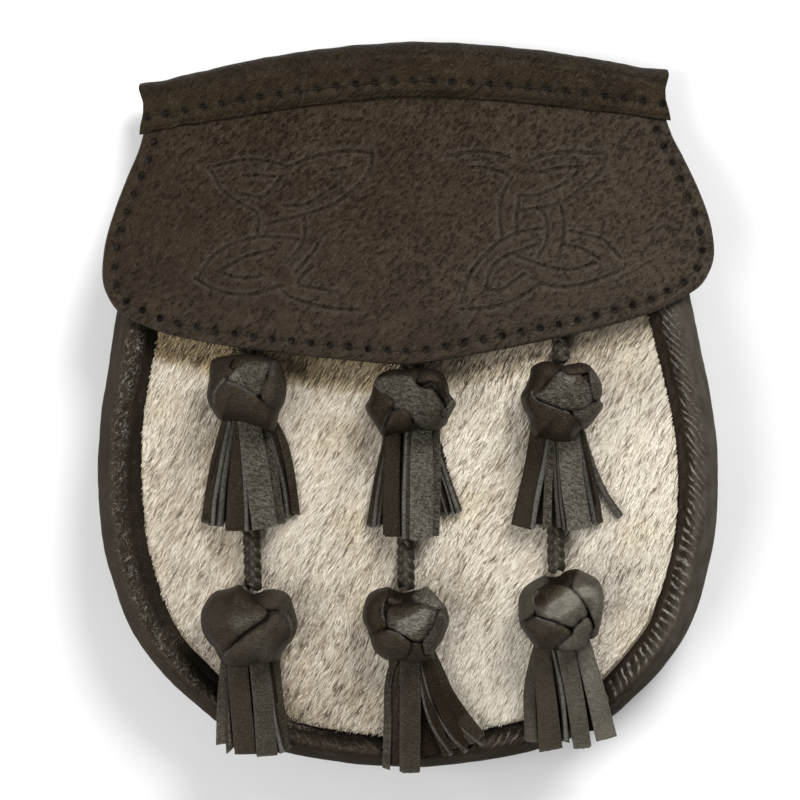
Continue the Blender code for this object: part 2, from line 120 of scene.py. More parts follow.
HEAD_DEPTH = 17.0
HEAD_SEAT = 0.6
SKIRT_LOW = 0.8
SKIRT_TOP = 7.9
SKIRT_TOP_ON_RIM = 4.2
TASSELS = (
    # name, head x and y, head width and height, skirt's left and right end from the head's middle
    ("upper_left", (-47.0, 4.2), (24.5, 22.4), (-15.2, 14.0)),
    ("upper_middle", (1.3, -0.6), (27.0, 21.6), (-14.0, 8.0)),
    ("upper_right", (46.0, -0.6), (25.5, 23.4), (-15.2, 11.4)),
    ("lower_left", (-48.7, -64.8), (28.4, 22.4), (-10.8, 11.6)),
    ("lower_middle", (-1.6, -65.0), (26.4, 21.0), (-7.6, 17.5)),
    ("lower_right", (44.0, -62.6), (26.8, 23.6), (-10.6, 16.0)),
)
CORDS = {
    # points (x, y, z) of each thong's middle line from its top end down
    "upper_left": (
        (-47.0, 49.0, 24.9), (-47.0, 40.7, 28.0), (-47.0, 32.4, 30.3),
        (-47.0, 24.0, 31.9), (-47.0, 15.7, 34.0),
    ),
    "upper_middle": (
        (1.3, 49.0, 26.4), (1.3, 39.4, 29.8), (1.3, 29.8, 32.2), (1.3, 20.1, 33.7), (1.3, 10.5, 35.6),
    ),
    "upper_right": (
        (46.4, 49.0, 24.9), (46.5, 39.6, 28.4), (46.6, 30.2, 30.8), (46.6, 20.8, 32.5),
        (46.4, 11.4, 34.5),
    ),
    "lower_left": (
        (-47.0, -7.3, 34.3), (-47.2, -16.5, 34.3), (-47.2, -25.7, 34.4),
        (-47.1, -34.9, 34.5), (-46.9, -44.1, 34.8), (-46.9, -53.3, 35.3),
    ),
    "lower_middle": (
        (1.3, -11.7, 35.1), (0.6, -20.2, 35.1), (-0.2, -28.7, 35.2),
        (-1.0, -37.2, 35.4), (-1.3, -45.7, 35.7), (-1.5, -54.2, 36.2),
    ),
    "lower_right": (
        (45.6, -12.6, 34.4), (44.6, -20.2, 34.4), (44.0, -27.8, 34.5),
        (43.6, -35.3, 34.7), (43.4, -42.9, 35.1), (43.4, -50.5, 35.9),
    ),
}

# ---------------------------------------------------------------- camera and light

# Places, the lights' sizes and the camera's reach are in metres, and the floor in millimetres
CAMERA_PLACE = (-0.0018, 0.00114, 0.900)
CAMERA_TURN = math.radians(-1.5)
CAMERA_LENS = 130.95
CAMERA_CLIP = (0.05, 20.0)
SENSOR = 36.0
FLOOR_REACH = 3000.0
FLOOR_Z = -0.2
SKY_STRENGTH = 0.29
LIT_PLACE = (0.0, 0.0, 0.02)
LIGHTS = (
    # name, place, size, watts
    ("key", (0.62, 1.05, 1.10), 0.85, 29.0),
    ("fill", (-0.95, -0.30, 1.10), 1.20, 17.0),
)

# ---------------------------------------------------------------- curves and tables


def smooth_value(rows, at):
    """Values of a two-column table, on a curve through its rows that has no overshoot."""
    places, values = np.array(rows, float).T
    at = np.clip(np.asarray(at, float), places[0], places[-1])
    slopes = np.diff(values) / np.diff(places)
    before = np.concatenate([slopes[:1], slopes])
    after = np.concatenate([slopes, slopes[-1:]])
    rising = before * after > 0
    total = np.where(rising, before + after, 1.0)
    tangents = np.where(rising, 2 * before * after / total, 0.0)
    k = np.clip(np.searchsorted(places, at, side="right") - 1, 0, len(places) - 2)
    span = np.diff(places)[k]
    t = (at - places[k]) / span
    return (
        values[k] * (1 + 2 * t) * (1 - t) ** 2
        + tangents[k] * span * t * (1 - t) ** 2
        + values[k + 1] * t * t * (3 - 2 * t)
        + tangents[k + 1] * span * t * t * (t - 1)
    )


def ease(low, high, at):
    """0 below low, 1 above high, and a smooth step between them."""
    t = np.clip((np.asarray(at, float) - low) / (high - low), 0.0, 1.0)
    return t * t * (3 - 2 * t)


def mix(a, b, t):
    return a + (b - a) * t


def smooth_line(points, steps=12):
    """A dense line along a smooth curve through these points."""
    points = np.array(points, float)
    ends = np.vstack([2 * points[0] - points[1], points, 2 * points[-1] - points[-2]])
    a, b, c, d = ends[:-3], ends[1:-2], ends[2:-1], ends[3:]
    line = []
    for k in range(len(a)):
        for t in np.arange(steps) / steps:
            line.append(
                0.5
                * (
                    2 * b[k]
                    + (c[k] - a[k]) * t
                    + (2 * a[k] - 5 * b[k] + 4 * c[k] - d[k]) * t**2
                    + (3 * b[k] - a[k] - 3 * c[k] + d[k]) * t**3
                )
            )
    return np.array(line + [points[-1]])


def lengths_along(line):
    return np.concatenate([[0.0], np.cumsum(np.linalg.norm(np.diff(line, axis=0), axis=1))])


def even_points(line, count):
    """This many points at even distances along a line."""
    along = lengths_along(line)
    at = np.linspace(0.0, along[-1], count)
    return np.stack([np.interp(at, along, column) for column in line.T], axis=1)


def unit(vectors):
    return vectors / np.maximum(np.linalg.norm(vectors, axis=-1, keepdims=True), 1e-9)


def directions(line):
    return unit(np.gradient(line, axis=0))


WAVES = 9


def wander(x, y, size, seed):
    """Smooth unevenness about 0, with lumps about this many millimetres across."""
    rng = np.random.default_rng(seed)
    total = 0.0
    for _ in range(WAVES):
        angle, phase = rng.uniform(0, 2 * math.pi, 2)
        pitch = size * rng.uniform(1.2, 2.8)
        across = x * math.cos(angle) + y * math.sin(angle)
        total = total + np.sin(2 * math.pi * across / pitch + phase)
    return total / math.sqrt(WAVES)


def distance_to(points, line):
    """Distance of each (x, y) from the nearest point of a dense line."""
    found = np.empty(len(points))
    for start in range(0, len(points), 4000):
        part = points[start : start + 4000]
        gap = part[:, None, :] - line[None, :, :]
        found[start : start + 4000] = np.sqrt((gap**2).sum(axis=2).min(axis=1))
    return found


# ---------------------------------------------------------------- shape of the pouch


def body_line():
    """Outline from the mouth's left end down, round the bottom and up to its right end."""
    right = [(middle + half, y) for y, half, middle in BODY_WIDTH]
    left = [(middle - half, y) for y, half, middle in BODY_WIDTH[:0:-1]]
    return smooth_line(left + right)


BODY_LINE = body_line()


def inside_of(line):
    """Unit vectors square to an outline, to its left."""
    along = directions(line)
    return np.stack([-along[:, 1], along[:, 0]], axis=1)


def rim_height(y):
    return smooth_value(RIM_HEIGHT, y)


def rim_width(y):
    return smooth_value(RIM_WIDTH, y)


def depth_inside(x, y):
    """Distance from points inside the pouch to its outline."""
    points = np.stack([np.ravel(x), np.ravel(y)], axis=1)
    return distance_to(points, BODY_LINE).reshape(np.shape(x))


def panel_height(x, y):
    """Top of the front panel, which swells gently from its edge."""
    reach = (depth_inside(x, y) - rim_width(y)) / FRONT_DOME_REACH
    swell = 1 - (1 - np.clip(reach, 0.0, 1.0)) ** 2
    return rim_height(y) - RIM_RECESS + FRONT_DOME * swell


def front_height(x, y):
    """Top of whatever lies in front: the panel, or the rim's inner slope at its edge."""
    share = np.clip(depth_inside(x, y) / rim_width(y), 0.45, 1.0)
    return panel_height(x, y) + RIM_RECESS * (1 - smooth_value(GUSSET_ROLL, share))


def back_height(y):
    """Underside of the back panel."""
    return BACK_LIFT * ease(BACK_LIFT_FROM, BACK_LIFT_TO, y)


def top_edge(x):
    """Height of the arched top edge at a distance from its own middle."""
    return TOP_Y - TOP_ARCH_FALL * (np.abs(x) / TOP_HALF_WIDTH) ** TOP_ARCH_POWER


def flap_height(x, y):
    """Underside of the flap."""
    fade = 1 - ease(FLAP_CROWN_FROM, FLAP_CROWN_TO, y)
    crown = FLAP_CROWN * fade * np.maximum(0.0, 1 - (x / FLAP_CROWN_HALF_WIDTH) ** 2)
    droop = FLAP_DROOP * np.maximum(0.0, np.abs(x) - FLAP_DROOP_FROM) ** 2
    return rim_height(y) + GAP + crown - droop


def head_centre(x, y):
    z = float(panel_height(np.array([x]), np.array([y]))[0])
    return np.array([x, y, z + HEAD_SEAT + HEAD_DEPTH / 2])


class Grid:
    """A height function sampled every millimetre, to look up many places quickly."""

    def __init__(self, function, low, high):
        self.low = low
        x = np.arange(low[0], high[0] + 1.0)
        y = np.arange(low[1], high[1] + 1.0)
        self.values = function(*np.meshgrid(x, y, indexing="ij"))

    def __call__(self, x, y):
        rows, columns = self.values.shape
        u = np.clip(x - self.low[0], 0, rows - 1.001)
        v = np.clip(y - self.low[1], 0, columns - 1.001)
        i, j = u.astype(int), v.astype(int)
        u, v = u - i, v - j
        near = mix(self.values[i, j], self.values[i + 1, j], u)
        return mix(near, mix(self.values[i, j + 1], self.values[i + 1, j + 1], u), v)


# ---------------------------------------------------------------- meshes


def build(name, points, quads=(), tris=(), values=None, smooth=True):
    """Makes a mesh object from points in millimetres, with named values at its points."""
    quads = np.asarray(quads, np.int32).reshape(-1, 4)
    tris = np.asarray(tris, np.int32).reshape(-1, 3)
    loops = np.concatenate([quads.ravel(), tris.ravel()])
    starts = np.concatenate([np.arange(len(quads)) * 4, quads.size + np.arange(len(tris)) * 3])
    mesh = bpy.data.meshes.new(name)
    mesh.vertices.add(len(points))
    mesh.vertices.foreach_set("co", (np.asarray(points) * MM).astype(np.float32).ravel())
    mesh.loops.add(len(loops))
    mesh.loops.foreach_set("vertex_index", loops)
    mesh.polygons.add(len(starts))
    mesh.polygons.foreach_set("loop_start", starts.astype(np.int32))
    mesh.update(calc_edges=True)
    for key, data in (values or {}).items():
        attribute = mesh.attributes.new(key, "FLOAT", "POINT")
        attribute.data.foreach_set("value", np.asarray(data, np.float32))
    if smooth:
        mesh.shade_smooth()
    else:
        mesh.shade_flat()
    obj = bpy.data.objects.new(name, mesh)
    bpy.context.scene.collection.objects.link(obj)
    return obj


def ring_quads(rows, columns):
    """Faces between rows of points that are closed rings."""
    index = np.arange(rows * columns).reshape(rows, columns)
    index = np.concatenate([index, index[:, :1]], axis=1)
    corners = [index[:-1, :-1], index[:-1, 1:], index[1:, 1:], index[1:, :-1]]
    return np.stack(corners, axis=-1).reshape(-1, 4)


def end_caps(rows, sides):
    """Triangles that close the first and the last ring of a tube."""
    last = (rows - 1) * sides
    caps = [(0, k + 1, k) for k in range(1, sides - 1)]
    return caps + [(last, last + k, last + k + 1) for k in range(1, sides - 1)]


class Pile:
    """Several small surfaces gathered into one mesh."""

    def __init__(self):
        self.points, self.quads, self.tris, self.values = [], [], [], {}
        self.count = 0

    def add(self, points, quads, tris, **values):
        """Adds a surface, with a number or one number a point for each of these values."""
        points = np.asarray(points).reshape(-1, 3)
        self.points.append(points)
        self.quads.append(np.asarray(quads, int).reshape(-1, 4) + self.count)
        self.tris.append(np.asarray(tris, int).reshape(-1, 3) + self.count)
        for key, value in values.items():
            data = np.broadcast_to(np.asarray(value, float).ravel(), (len(points),))
            self.values.setdefault(key, []).append(data)
        self.count += len(points)

    def made(self, name):
        """The mesh object of all that was added."""
        values = {key: np.concatenate(data) for key, data in self.values.items()}
        return build(name, *map(np.concatenate, (self.points, self.quads, self.tris)), values)


def tube(pile, line, radius, sides):
    """A round tube along a line, closed at its ends."""
    along = directions(line)
    side = unit(np.cross(along, [0.0, 0.0, 1.0]) + 1e-6)
    up = np.cross(side, along)
    turn = np.linspace(0, 2 * math.pi, sides, endpoint=False)
    ring = side[:, None] * np.cos(turn)[:, None] + up[:, None] * np.sin(turn)[:, None]
    quads = ring_quads(len(line), sides)[:, ::-1]
    pile.add(line[:, None] + ring * radius, quads, end_caps(len(line), sides))


STRAP_BEVEL = 0.93


def strap_section(across):
    """Section of a cut leather strip, from its upper left corner round it.

    Its rows are the share of half the width, the share of the thickness, how far the place
    is a cut edge, and the share of the crown.
    """
    bevel = STRAP_BEVEL
    top = [(v, 1.0, 0.0, 1 - (v / bevel) ** 2) for v in np.linspace(-bevel, bevel, across)]
    top[0], top[-1] = (-bevel, 0.97, 0.5, 0.0), (bevel, 0.97, 0.5, 0.0)
    right = [(1.0, 0.8, 1.0, 0.0), (1.0, 0.25, 1.0, 0.0), (bevel, 0.0, 0.3, 0.0)]
    left = [(-v, *rest) for v, *rest in right[::-1]]
    return np.array(top + right + [(0.0, 0.0, 0.0, 0.0)] + left)


def strap(pile, line, up, width, thickness, crown=0.0, across=7, bare=1.0, skew=0.0, **values):
    """A leather strip along a line: up is its outer face's side, and crown its puffiness."""
    count = len(line)
    along = directions(line)
    side = unit(np.cross(along, up))
    up = np.cross(side, along)
    width = np.broadcast_to(width, (count,))[:, None]
    thickness = np.broadcast_to(thickness, (count,))[:, None]
    section = strap_section(across)
    out = section[:, 1] * thickness + section[:, 3] * crown
    points = (
        line[:, None]
        + side[:, None] * (section[:, 0] * width / 2)[..., None]
        + up[:, None] * out[..., None]
    )
    # A skewed end is cut a little ragged too
    ragged = 0.28 * np.sin(9.1 * section[:, :1] + 40 * skew) if skew else 0.0
    points[-1] += along[-1] * (skew * section[:, :1] + ragged)
    sides = len(section)
    edge = np.broadcast_to(section[:, 2], (count, sides)) * bare
    edge[-1] = bare
    pile.add(points, ring_quads(count, sides), end_caps(count, sides), edge=edge, **values)


# Points this near an outline count as on it
ON_EDGE = 1e-6


def filled_sheet(outline, inner):
    """Points and triangles of a flat sheet inside an outline, through these inner points."""
    flat = [Vector(point) for point in np.concatenate([outline, inner])]
    found = geometry.delaunay_2d_cdt(flat, [], [list(range(len(outline)))], 1, 1e-5)
    points = np.array([tuple(point) for point in found[0]])
    tris = np.array(found[2])
    a, b, c = points[tris[:, 0]], points[tris[:, 1]], points[tris[:, 2]]
    ab, ac = b - a, c - a
    below = ab[:, 0] * ac[:, 1] - ab[:, 1] * ac[:, 0] < 0
    tris[below] = tris[below][:, ::-1]
    return points, tris


def turning(points):
    """Above 0 where a closed line runs anticlockwise."""
    x, y = points.T
    return (x * np.roll(y, -1) - y * np.roll(x, -1)).sum()


def edge_points(outline, points):
    """For each place of an outline, the nearest of the points that lie on it."""
    on_edge = np.where(distance_to(points, outline) < ON_EDGE)[0]
    gap = outline[:, None] - points[on_edge][None]
    return on_edge[(gap**2).sum(axis=2).argmin(axis=1)]


def closed_sheet(outline, upper, upper_tris, lower, lower_tris):
    """Points, edge faces and triangles of a sheet with these two faces inside an outline."""
    count = len(upper)
    a = edge_points(outline, upper[:, :2])
    b = edge_points(outline, lower[:, :2]) + count
    walls = np.stack([a, np.roll(a, -1), np.roll(b, -1), b], axis=1)
    if turning(outline) > 0:
        walls = walls[:, ::-1]
    tris = np.concatenate([upper_tris, lower_tris[:, ::-1] + count])
    return np.concatenate([upper, lower]), walls, tris


def doubled_sheet(flat, tris, top, bottom):
    """The same for a sheet whose faces have the same triangles, from the heights of both."""
    count = len(flat)
    edges = np.concatenate([tris[:, [0, 1]], tris[:, [1, 2]], tris[:, [2, 0]]])
    key = np.sort(edges, axis=1)
    _, index, uses = np.unique(key, axis=0, return_index=True, return_counts=True)
    a, b = edges[index[uses == 1]].T
    walls = np.stack([b, a, a + count, b + count], axis=1)
    points = np.concatenate([np.column_stack([flat, top]), np.column_stack([flat, bottom])])
    return points, walls, np.concatenate([tris, tris[:, ::-1] + count])


def lined_leather(name, outer, inner, under, values, inside=(), flipped=False):
    """A leather's outer surface, closed by its inner side and at its two ends.

    The inner side has a column of points under each of these columns of the outer one, and
    its own value where inside names one.
    """
    rows, wall = outer.shape[:2]
    section = np.concatenate([outer, inner], axis=1)
    columns = section.shape[1]
    quads = ring_quads(rows, columns)
    caps = []
    for k, (high, low) in enumerate(zip(under, under[1:]), wall):
        caps += [tri[::-1] for tri in end_strip(0, k, low, high)]
        caps += end_strip((rows - 1) * columns, k, low, high)
    caps = np.array(caps)
    if flipped:
        quads, caps = quads[:, ::-1], caps[:, ::-1]
    padded = {}
    for key, value in values.items():
        pad = np.full((rows, len(under)), dict(inside).get(key, 0.0))
        padded[key] = np.concatenate([value, pad], axis=1).ravel()
    return build(name, section.reshape(-1, 3), quads, caps, padded)


def end_strip(start, inner, low, high):
    """Triangles that close a leather's cut end between its two faces."""
    fan = [(start + inner, start + k, start + k + 1) for k in range(low, high)]
    return fan + [(start + inner, start + inner + 1, start + low)]


def within(outline, points):
    """Which points lie inside a closed outline."""
    a, b = outline, np.roll(outline, -1, axis=0)
    x, y = points[:, :1], points[:, 1:]
    crosses = (a[:, 1] > y) != (b[:, 1] > y)
    rise = np.where(b[:, 1] == a[:, 1], 1.0, b[:, 1] - a[:, 1])
    reached = a[:, 0] + (y - a[:, 1]) * (b[:, 0] - a[:, 0]) / rise
    return (crosses & (x < reached)).sum(axis=1) % 2 == 1


def spread_points(outline, spacing, clear):
    """Staggered points inside an outline, kept this far from it."""
    low, high = outline.min(axis=0), outline.max(axis=0)
    x, y = np.meshgrid(np.arange(low[0], high[0], spacing), np.arange(low[1], high[1], spacing))
    x[1::2] += spacing / 2
    points = np.stack([x.ravel(), y.ravel()], axis=1)
    points = points[within(outline, points)]
    return points[distance_to(points, outline) > clear]


def detailed_points(outline, rows, apart, clear, plain_spacing, plain_clear, plain_apart):
    """The detail points of these rows inside an outline, and plain ones in the room they leave.

    The detail is thinned to one point in this distance apart and keeps clear of the outline.
    """
    detail = np.concatenate(rows)
    detail = detail[within(outline, detail)]
    detail = detail[distance_to(detail, outline) > clear]
    _, first = np.unique(np.round(detail / apart), axis=0, return_index=True)
    detail = detail[first]
    plain = spread_points(outline, plain_spacing, plain_clear)
    return np.concatenate([detail, plain[distance_to(plain, detail) > plain_apart]])


def dressed(obj, material, nodes=()):
    """Gives a piece its material, its body and the CAD nodes it stands for."""
    coated(obj, material)
    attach(obj, "root")
    if nodes:
        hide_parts(*nodes)
    return obj


def coated(obj, material):
    """Gives a piece this material alone."""
    obj.data.materials.clear()
    obj.data.materials.append(material)


# ---------------------------------------------------------------- materials


class Value:
    """A number, colour or place in a node tree. Sums, differences and products add nodes."""

    def __init__(self, shader, socket):
        self.shader = shader
        self.socket = socket

    def __add__(self, other):
        return self.shader.math("ADD", self, other)

    def __sub__(self, other):
        return self.shader.math("SUBTRACT", self, other)

    def __rsub__(self, other):
        return self.shader.math("SUBTRACT", other, self)

    def __mul__(self, other):
        return self.shader.math("MULTIPLY", self, other)


class Shader:
    """A material's node tree, with coordinates in millimetres."""

    def __init__(self, name):
        self.material = bpy.data.materials.new(name)
        self.material.use_nodes = True
        self.tree = self.material.node_tree
        self.surface = self.tree.nodes["Principled BSDF"]
        place = self.put("ShaderNodeTexCoord", output="Object")
        self.place = self.vector("SCALE", place, scale=1 / MM)

    def give(self, value, socket):
        """Joins a value to an input, or writes a plain number there."""
        if isinstance(value, Value):
            self.tree.links.new(value.socket, socket)
        else:
            socket.default_value = value

    def node(self, kind, inputs=(), **settings):
        """Adds a node with these inputs and settings."""
        node = self.tree.nodes.new(kind)
        for key, value in settings.items():
            setattr(node, key, value)
        for key, value in dict(inputs).items():
            self.give(value, node.inputs[key])
        return node

    def put(self, kind, inputs=(), output=0, **settings):
        """Adds a node and gives back the value of one of its outputs."""
        return Value(self, self.node(kind, inputs, **settings).outputs[output])

    def vector(self, operation, a, b=None, scale=None):
        inputs = {0: a}
        if b is not None:
            inputs[1] = b
        if scale is not None:
            inputs["Scale"] = scale
        return self.put("ShaderNodeVectorMath", inputs, operation=operation)

    def math(self, operation, a, b=0.0, clamp=False):
        return self.put("ShaderNodeMath", {0: a, 1: b}, operation=operation, use_clamp=clamp)

    def noise(self, size, detail=3.0, rough=0.55, place=None, distort=0.0, output="Fac"):
        """Noise with lumps about this many millimetres across."""
        inputs = {
            "Vector": place or self.place,
            "Scale": 1 / size,
            "Detail": detail,
            "Roughness": rough,
            "Distortion": distort,
        }
        return self.put("ShaderNodeTexNoise", inputs, output)

    def cells(self, size, place=None):
        """Distance from the nearest border between cells of this size."""
        inputs = {"Vector": place or self.place, "Scale": 1 / size}
        return self.put("ShaderNodeTexVoronoi", inputs, "Distance", feature="DISTANCE_TO_EDGE")

    def stretched(self, angle, across, along):
        """Coordinates turned in the face of the pouch, then counted in these lengths."""
        inputs = {"Vector": self.place, "Rotation": (0.0, 0.0, -angle)}
        turned = self.put("ShaderNodeMapping", inputs)
        return self.vector("DIVIDE", turned, (along, across, across))

    def step(self, value, low, high, to_low=0.0, to_high=1.0):
        """A smooth step between two values."""
        inputs = {0: value, 1: low, 2: high, 3: to_low, 4: to_high}
        return self.put("ShaderNodeMapRange", inputs, interpolation_type="SMOOTHSTEP")

    def ramp(self, value, stops):
        """A colour between the stops, which are rows of a value and its colour."""
        node = self.node("ShaderNodeValToRGB", {0: value})
        elements = node.color_ramp.elements
        for k, (place, colour) in enumerate(stops):
            element = elements[k] if k < 2 else elements.new(place)
            element.position = place
            element.color = (*colour, 1.0)
        return Value(self, node.outputs[0])

    def blend(self, share, a, b, kind="MIX"):
        """Colour a, with this share of colour b laid over it."""
        a, b = [colour if isinstance(colour, Value) else (*colour, 1.0) for colour in (a, b)]
        inputs = {0: share, 6: a, 7: b}
        return self.put("ShaderNodeMix", inputs, 2, data_type="RGBA", blend_type=kind)

    def named(self, name):
        """The value of this name at the mesh's points."""
        return self.put("ShaderNodeAttribute", output="Fac", attribute_name=name)

    def finish(self, colour, roughness, height, strength=1.0, **uniform):
        """The material, with a bump from a height in millimetres."""
        bump = {"Height": height, "Distance": MM, "Strength": strength}
        self.give(colour, self.surface.inputs["Base Color"])
        self.give(roughness, self.surface.inputs["Roughness"])
        self.give(self.put("ShaderNodeBump", bump), self.surface.inputs["Normal"])
        for key, value in uniform.items():
            self.surface.inputs[key.replace("_", " ")].default_value = value
        return self.material


LEATHER_SPECULAR = 0.13
LEATHER_SHEEN = (1.0, 0.80, 0.60, 1.0)
# Colour of the painted shade in the pores
PAINTED_PORE_SHADE = (0.006, 0.0045, 0.003)
# Colour of the painted shade in holes, grooves, creases and crevices and on the rim's inner slope
PAINTED_SHADE_COLOUR = (0.005, 0.0045, 0.004)
CUT_COLOUR = (0.105, 0.102, 0.092)
# Colour of the painted light and highlights on ridges, lips, crests and lit sides
WEAR_AND_PAINTED_LIGHT_COLOUR = (0.085, 0.076, 0.060)
# Colours of the painted highlights on the rim's fold lines and crumpled lumps
FOLD_HIGHLIGHT_COLOUR = (0.360, 0.333, 0.288)
LUMP_HIGHLIGHT_COLOUR = (0.190, 0.175, 0.145)
BLOTCH_SIZE = 14.0
CREASE_DEPTH = 0.18
TASSEL_TONES = (
    # lightness of a face, and its colour, the lightest stop for painted highlights
    (0.0, (0.0045, 0.0028, 0.0014)),
    (0.2, (0.0130, 0.0092, 0.0050)),
    (0.4, (0.0280, 0.0230, 0.0160)),
    (0.6, (0.0580, 0.0520, 0.0395)),
    (0.8, (0.1010, 0.0930, 0.0720)),
    (1.0, (0.1750, 0.1640, 0.1350)),
)
LEATHERS = {
    # grain is the size of the pebbles and grain_depth their height, in millimetres
    "tassel_leather": dict(
        dark=(0.009, 0.0065, 0.0045), tones=TASSEL_TONES,
        gloss=0.40, grain=0.85, grain_depth=0.06, specular=0.17,
    ),
    "thong_leather": dict(
        dark=(0.011, 0.0095, 0.007), light=(0.038, 0.034, 0.025),
        gloss=0.36, grain=0.8, grain_depth=0.03, specular=0.24,
    ),
    "flap_leather": dict(
        dark=(0.0138, 0.0088, 0.0051), light=(0.0275, 0.0189, 0.0118),
        gloss=0.50, grain=1.3, grain_depth=0.07, pores=1.0, glints=0.16,
    ),
    "rim_leather": dict(
        dark=(0.0150, 0.0105, 0.0062), light=(0.0340, 0.0260, 0.0172),
        gloss=0.40, grain=1.0, grain_depth=0.05, gathered=True,
    ),
    "binding_leather": dict(
        dark=(0.0105, 0.0070, 0.0036), light=(0.0265, 0.0185, 0.0104),
        gloss=0.50, grain=1.3, grain_depth=0.09, pores=0.45, glints=0.14,
    ),
    "body_leather": dict(
        dark=(0.026, 0.019, 0.013), light=(0.050, 0.039, 0.028),
        gloss=0.50, grain=1.3, grain_depth=0.05,
    ),
}


def leather(
    name, dark, gloss, grain, grain_depth, light=None, tones=None,
    pores=0.0, glints=0.0, gathered=False, specular=LEATHER_SPECULAR,
):
    """Grained leather.

    Its points may carry these values: tone and smooth on the tassels, edge on a cut edge,
    lined, crumpled and fold_at on the gathered rim, and anywhere the painted shade, the painted
    light and highlights, shine and dull. On the tassels the tone holds painted highlights and
    shade too.
    """
    s = Shader(name)
    mixed = s.noise(BLOTCH_SIZE, 4.0, 0.6) * 0.62 + s.noise(2.2, 4.0, 0.65) * 0.38
    pebble = s.step(s.cells(grain), 0.0, 0.32)
    height = pebble * grain_depth
    if tones:
        colour, fold_depth = tassel_colour(s, mixed, dark, tones)
        height = height - fold_depth * 0.30
    else:
        colour = s.ramp(s.step(mixed, 0.34, 0.66), ((0.0, dark), (1.0, light)))
        # Painted shade between the grain's pebbles
        colour = s.blend((1.0 - pebble) * 0.45, colour, dark)
    height = height + s.noise(0.8, 3.0) * (grain_depth * 2.2)
    height = height + s.noise(5.0, 5.0, 0.6) * CREASE_DEPTH
    if pores:
        colour, height = with_pores(s, colour, height, pores, glints)
    if gathered:
        colour, height = with_folds(s, colour, height, dark)

    # Painted light and highlights, cut edges with their fuzz, painted shade, and what all of them do to the
    # gloss
    colour = s.blend(s.named("wear_and_painted_light") * 0.8, colour, WEAR_AND_PAINTED_LIGHT_COLOUR)
    cut = s.named("edge")
    fuzz = s.step(s.noise(0.9, 4.0, 0.7), 0.36, 0.60, 0.35, 1.0)
    colour = s.blend(s.math("MULTIPLY", cut, fuzz, clamp=True), colour, CUT_COLOUR)
    height = height + cut * fuzz * 0.12
    colour = s.blend(s.named("dirt"), colour, PAINTED_SHADE_COLOUR)
    rough = s.noise(1.6, 3.0) * 0.22 + (gloss - 0.11)
    rough = rough + cut * 0.25 + s.named("dull") * 0.5
    rough = s.math("SUBTRACT", rough, s.named("shine") * 0.12, clamp=True)
    return s.finish(
        colour, rough, height, Specular_IOR_Level=specular, Specular_Tint=LEATHER_SHEEN
    )


def tassel_colour(s, mixed, dark, tones):
    """Colour of a tassel's leather by its tone, and the depth of its fine folds, darkened as painted shade.
    """
    tone = s.named("tone")
    colour = s.ramp(s.math("ADD", tone, (mixed - 0.5) * 0.42, clamp=True), tones)
    place = s.stretched(math.radians(-22), 0.75, 1.4)
    warp = s.vector("SCALE", s.noise(1.4, 2.0, 0.5, output="Color"), scale=1.4)
    lines = s.step(s.cells(1.0, s.vector("ADD", place, warp)), 0.0, 0.22, 1.0, 0.0)
    mottled = s.step(s.noise(1.0, 2.0, 0.6, place, 0.5), 0.40, 0.56, 1.0, 0.0)
    folds = lines * 0.62 + mottled * 0.78
    # The folds are fainter where the tone is highest, in the painted highlights
    fainter_in_highlights = s.step(tone, 0.62, 1.0, 1.0, 0.50)
    depth = folds * s.math("MULTIPLY", tone, fainter_in_highlights, clamp=True)
    depth = depth * (1.0 - s.named("smooth"))
    return s.blend(depth, colour, dark), depth


def with_pores(s, colour, height, pores, glints):
    """Adds slanting pores with painted shade in them, and painted glints on the crests between them."""
    slanted = s.stretched(math.radians(48), 1.25, 2.5)
    lumpy = s.noise(1.0, 1.6, 0.5, slanted, 0.3)
    where = s.step(s.noise(24.0, 2.0), 0.30, 0.60, 0.70, 1.0)
    pore = s.step(lumpy, 0.27, 0.37, 1.0, 0.0) * where
    crest = s.step(lumpy, 0.56, 0.72) * where
    # Painted shade in the pores, and painted glints on the crests
    colour = s.blend(pore * (0.36 * pores), colour, PAINTED_PORE_SHADE)
    colour = s.blend(crest * glints, colour, WEAR_AND_PAINTED_LIGHT_COLOUR)
    raised = (s.step(lumpy, 0.26, 0.50) + lumpy) * where
    return colour, height + raised * (0.42 * pores) - pore * (0.20 * pores)


def with_folds(s, colour, height, dark):
    """Adds the rim's fine creases: lines where lined, lumps where crumpled, in painted light and shade."""
    bent = (s.noise(3.0, 2.0) - 0.5) * 4.0
    ridge = s.math("SINE", s.named("fold_at") * (2 * math.pi) + bent)
    strong = s.step(s.noise(2.6, 2.0, 0.6), 0.38, 0.58, 0.15, 1.0)
    lines = s.step(ridge, 0.08, 0.92) * strong
    slanted = s.stretched(math.radians(46), 1.5, 2.6)
    level = s.noise(1.0, 2.0, 0.5, slanted, 0.4) - 0.5
    lumps = s.step(s.math("ABSOLUTE", level), 0.005, 0.055, 1.0, 0.0)
    for fold, where, lit, shaded in (
        (lines, "lined", FOLD_HIGHLIGHT_COLOUR, 0.80),
        (lumps, "crumpled", LUMP_HIGHLIGHT_COLOUR, 0.50),
    ):
        there = s.named(where)
        # Painted shade between the folds, and painted highlights on them
        hollow = (1.0 - fold) * there
        fold = fold * there
        colour = s.blend(hollow * shaded, colour, dark)
        colour = s.blend(fold * 0.90, colour, lit)
        height = height + fold * 0.45
    return colour, height


HAIR_TONES = (
    # from dark grey-brown through tan to near white
    (0.0, (0.058, 0.046, 0.034)),
    (0.30, (0.270, 0.205, 0.135)),
    (0.58, (0.550, 0.465, 0.345)),
    (1.0, (0.835, 0.780, 0.665)),
)
HAIR_PATCH = (0.40, 0.36, 0.30)
# Ochre of the painted shadow below the flap, and of stains in the hair
OCHRE_TINT = (0.90, 0.79, 0.55)


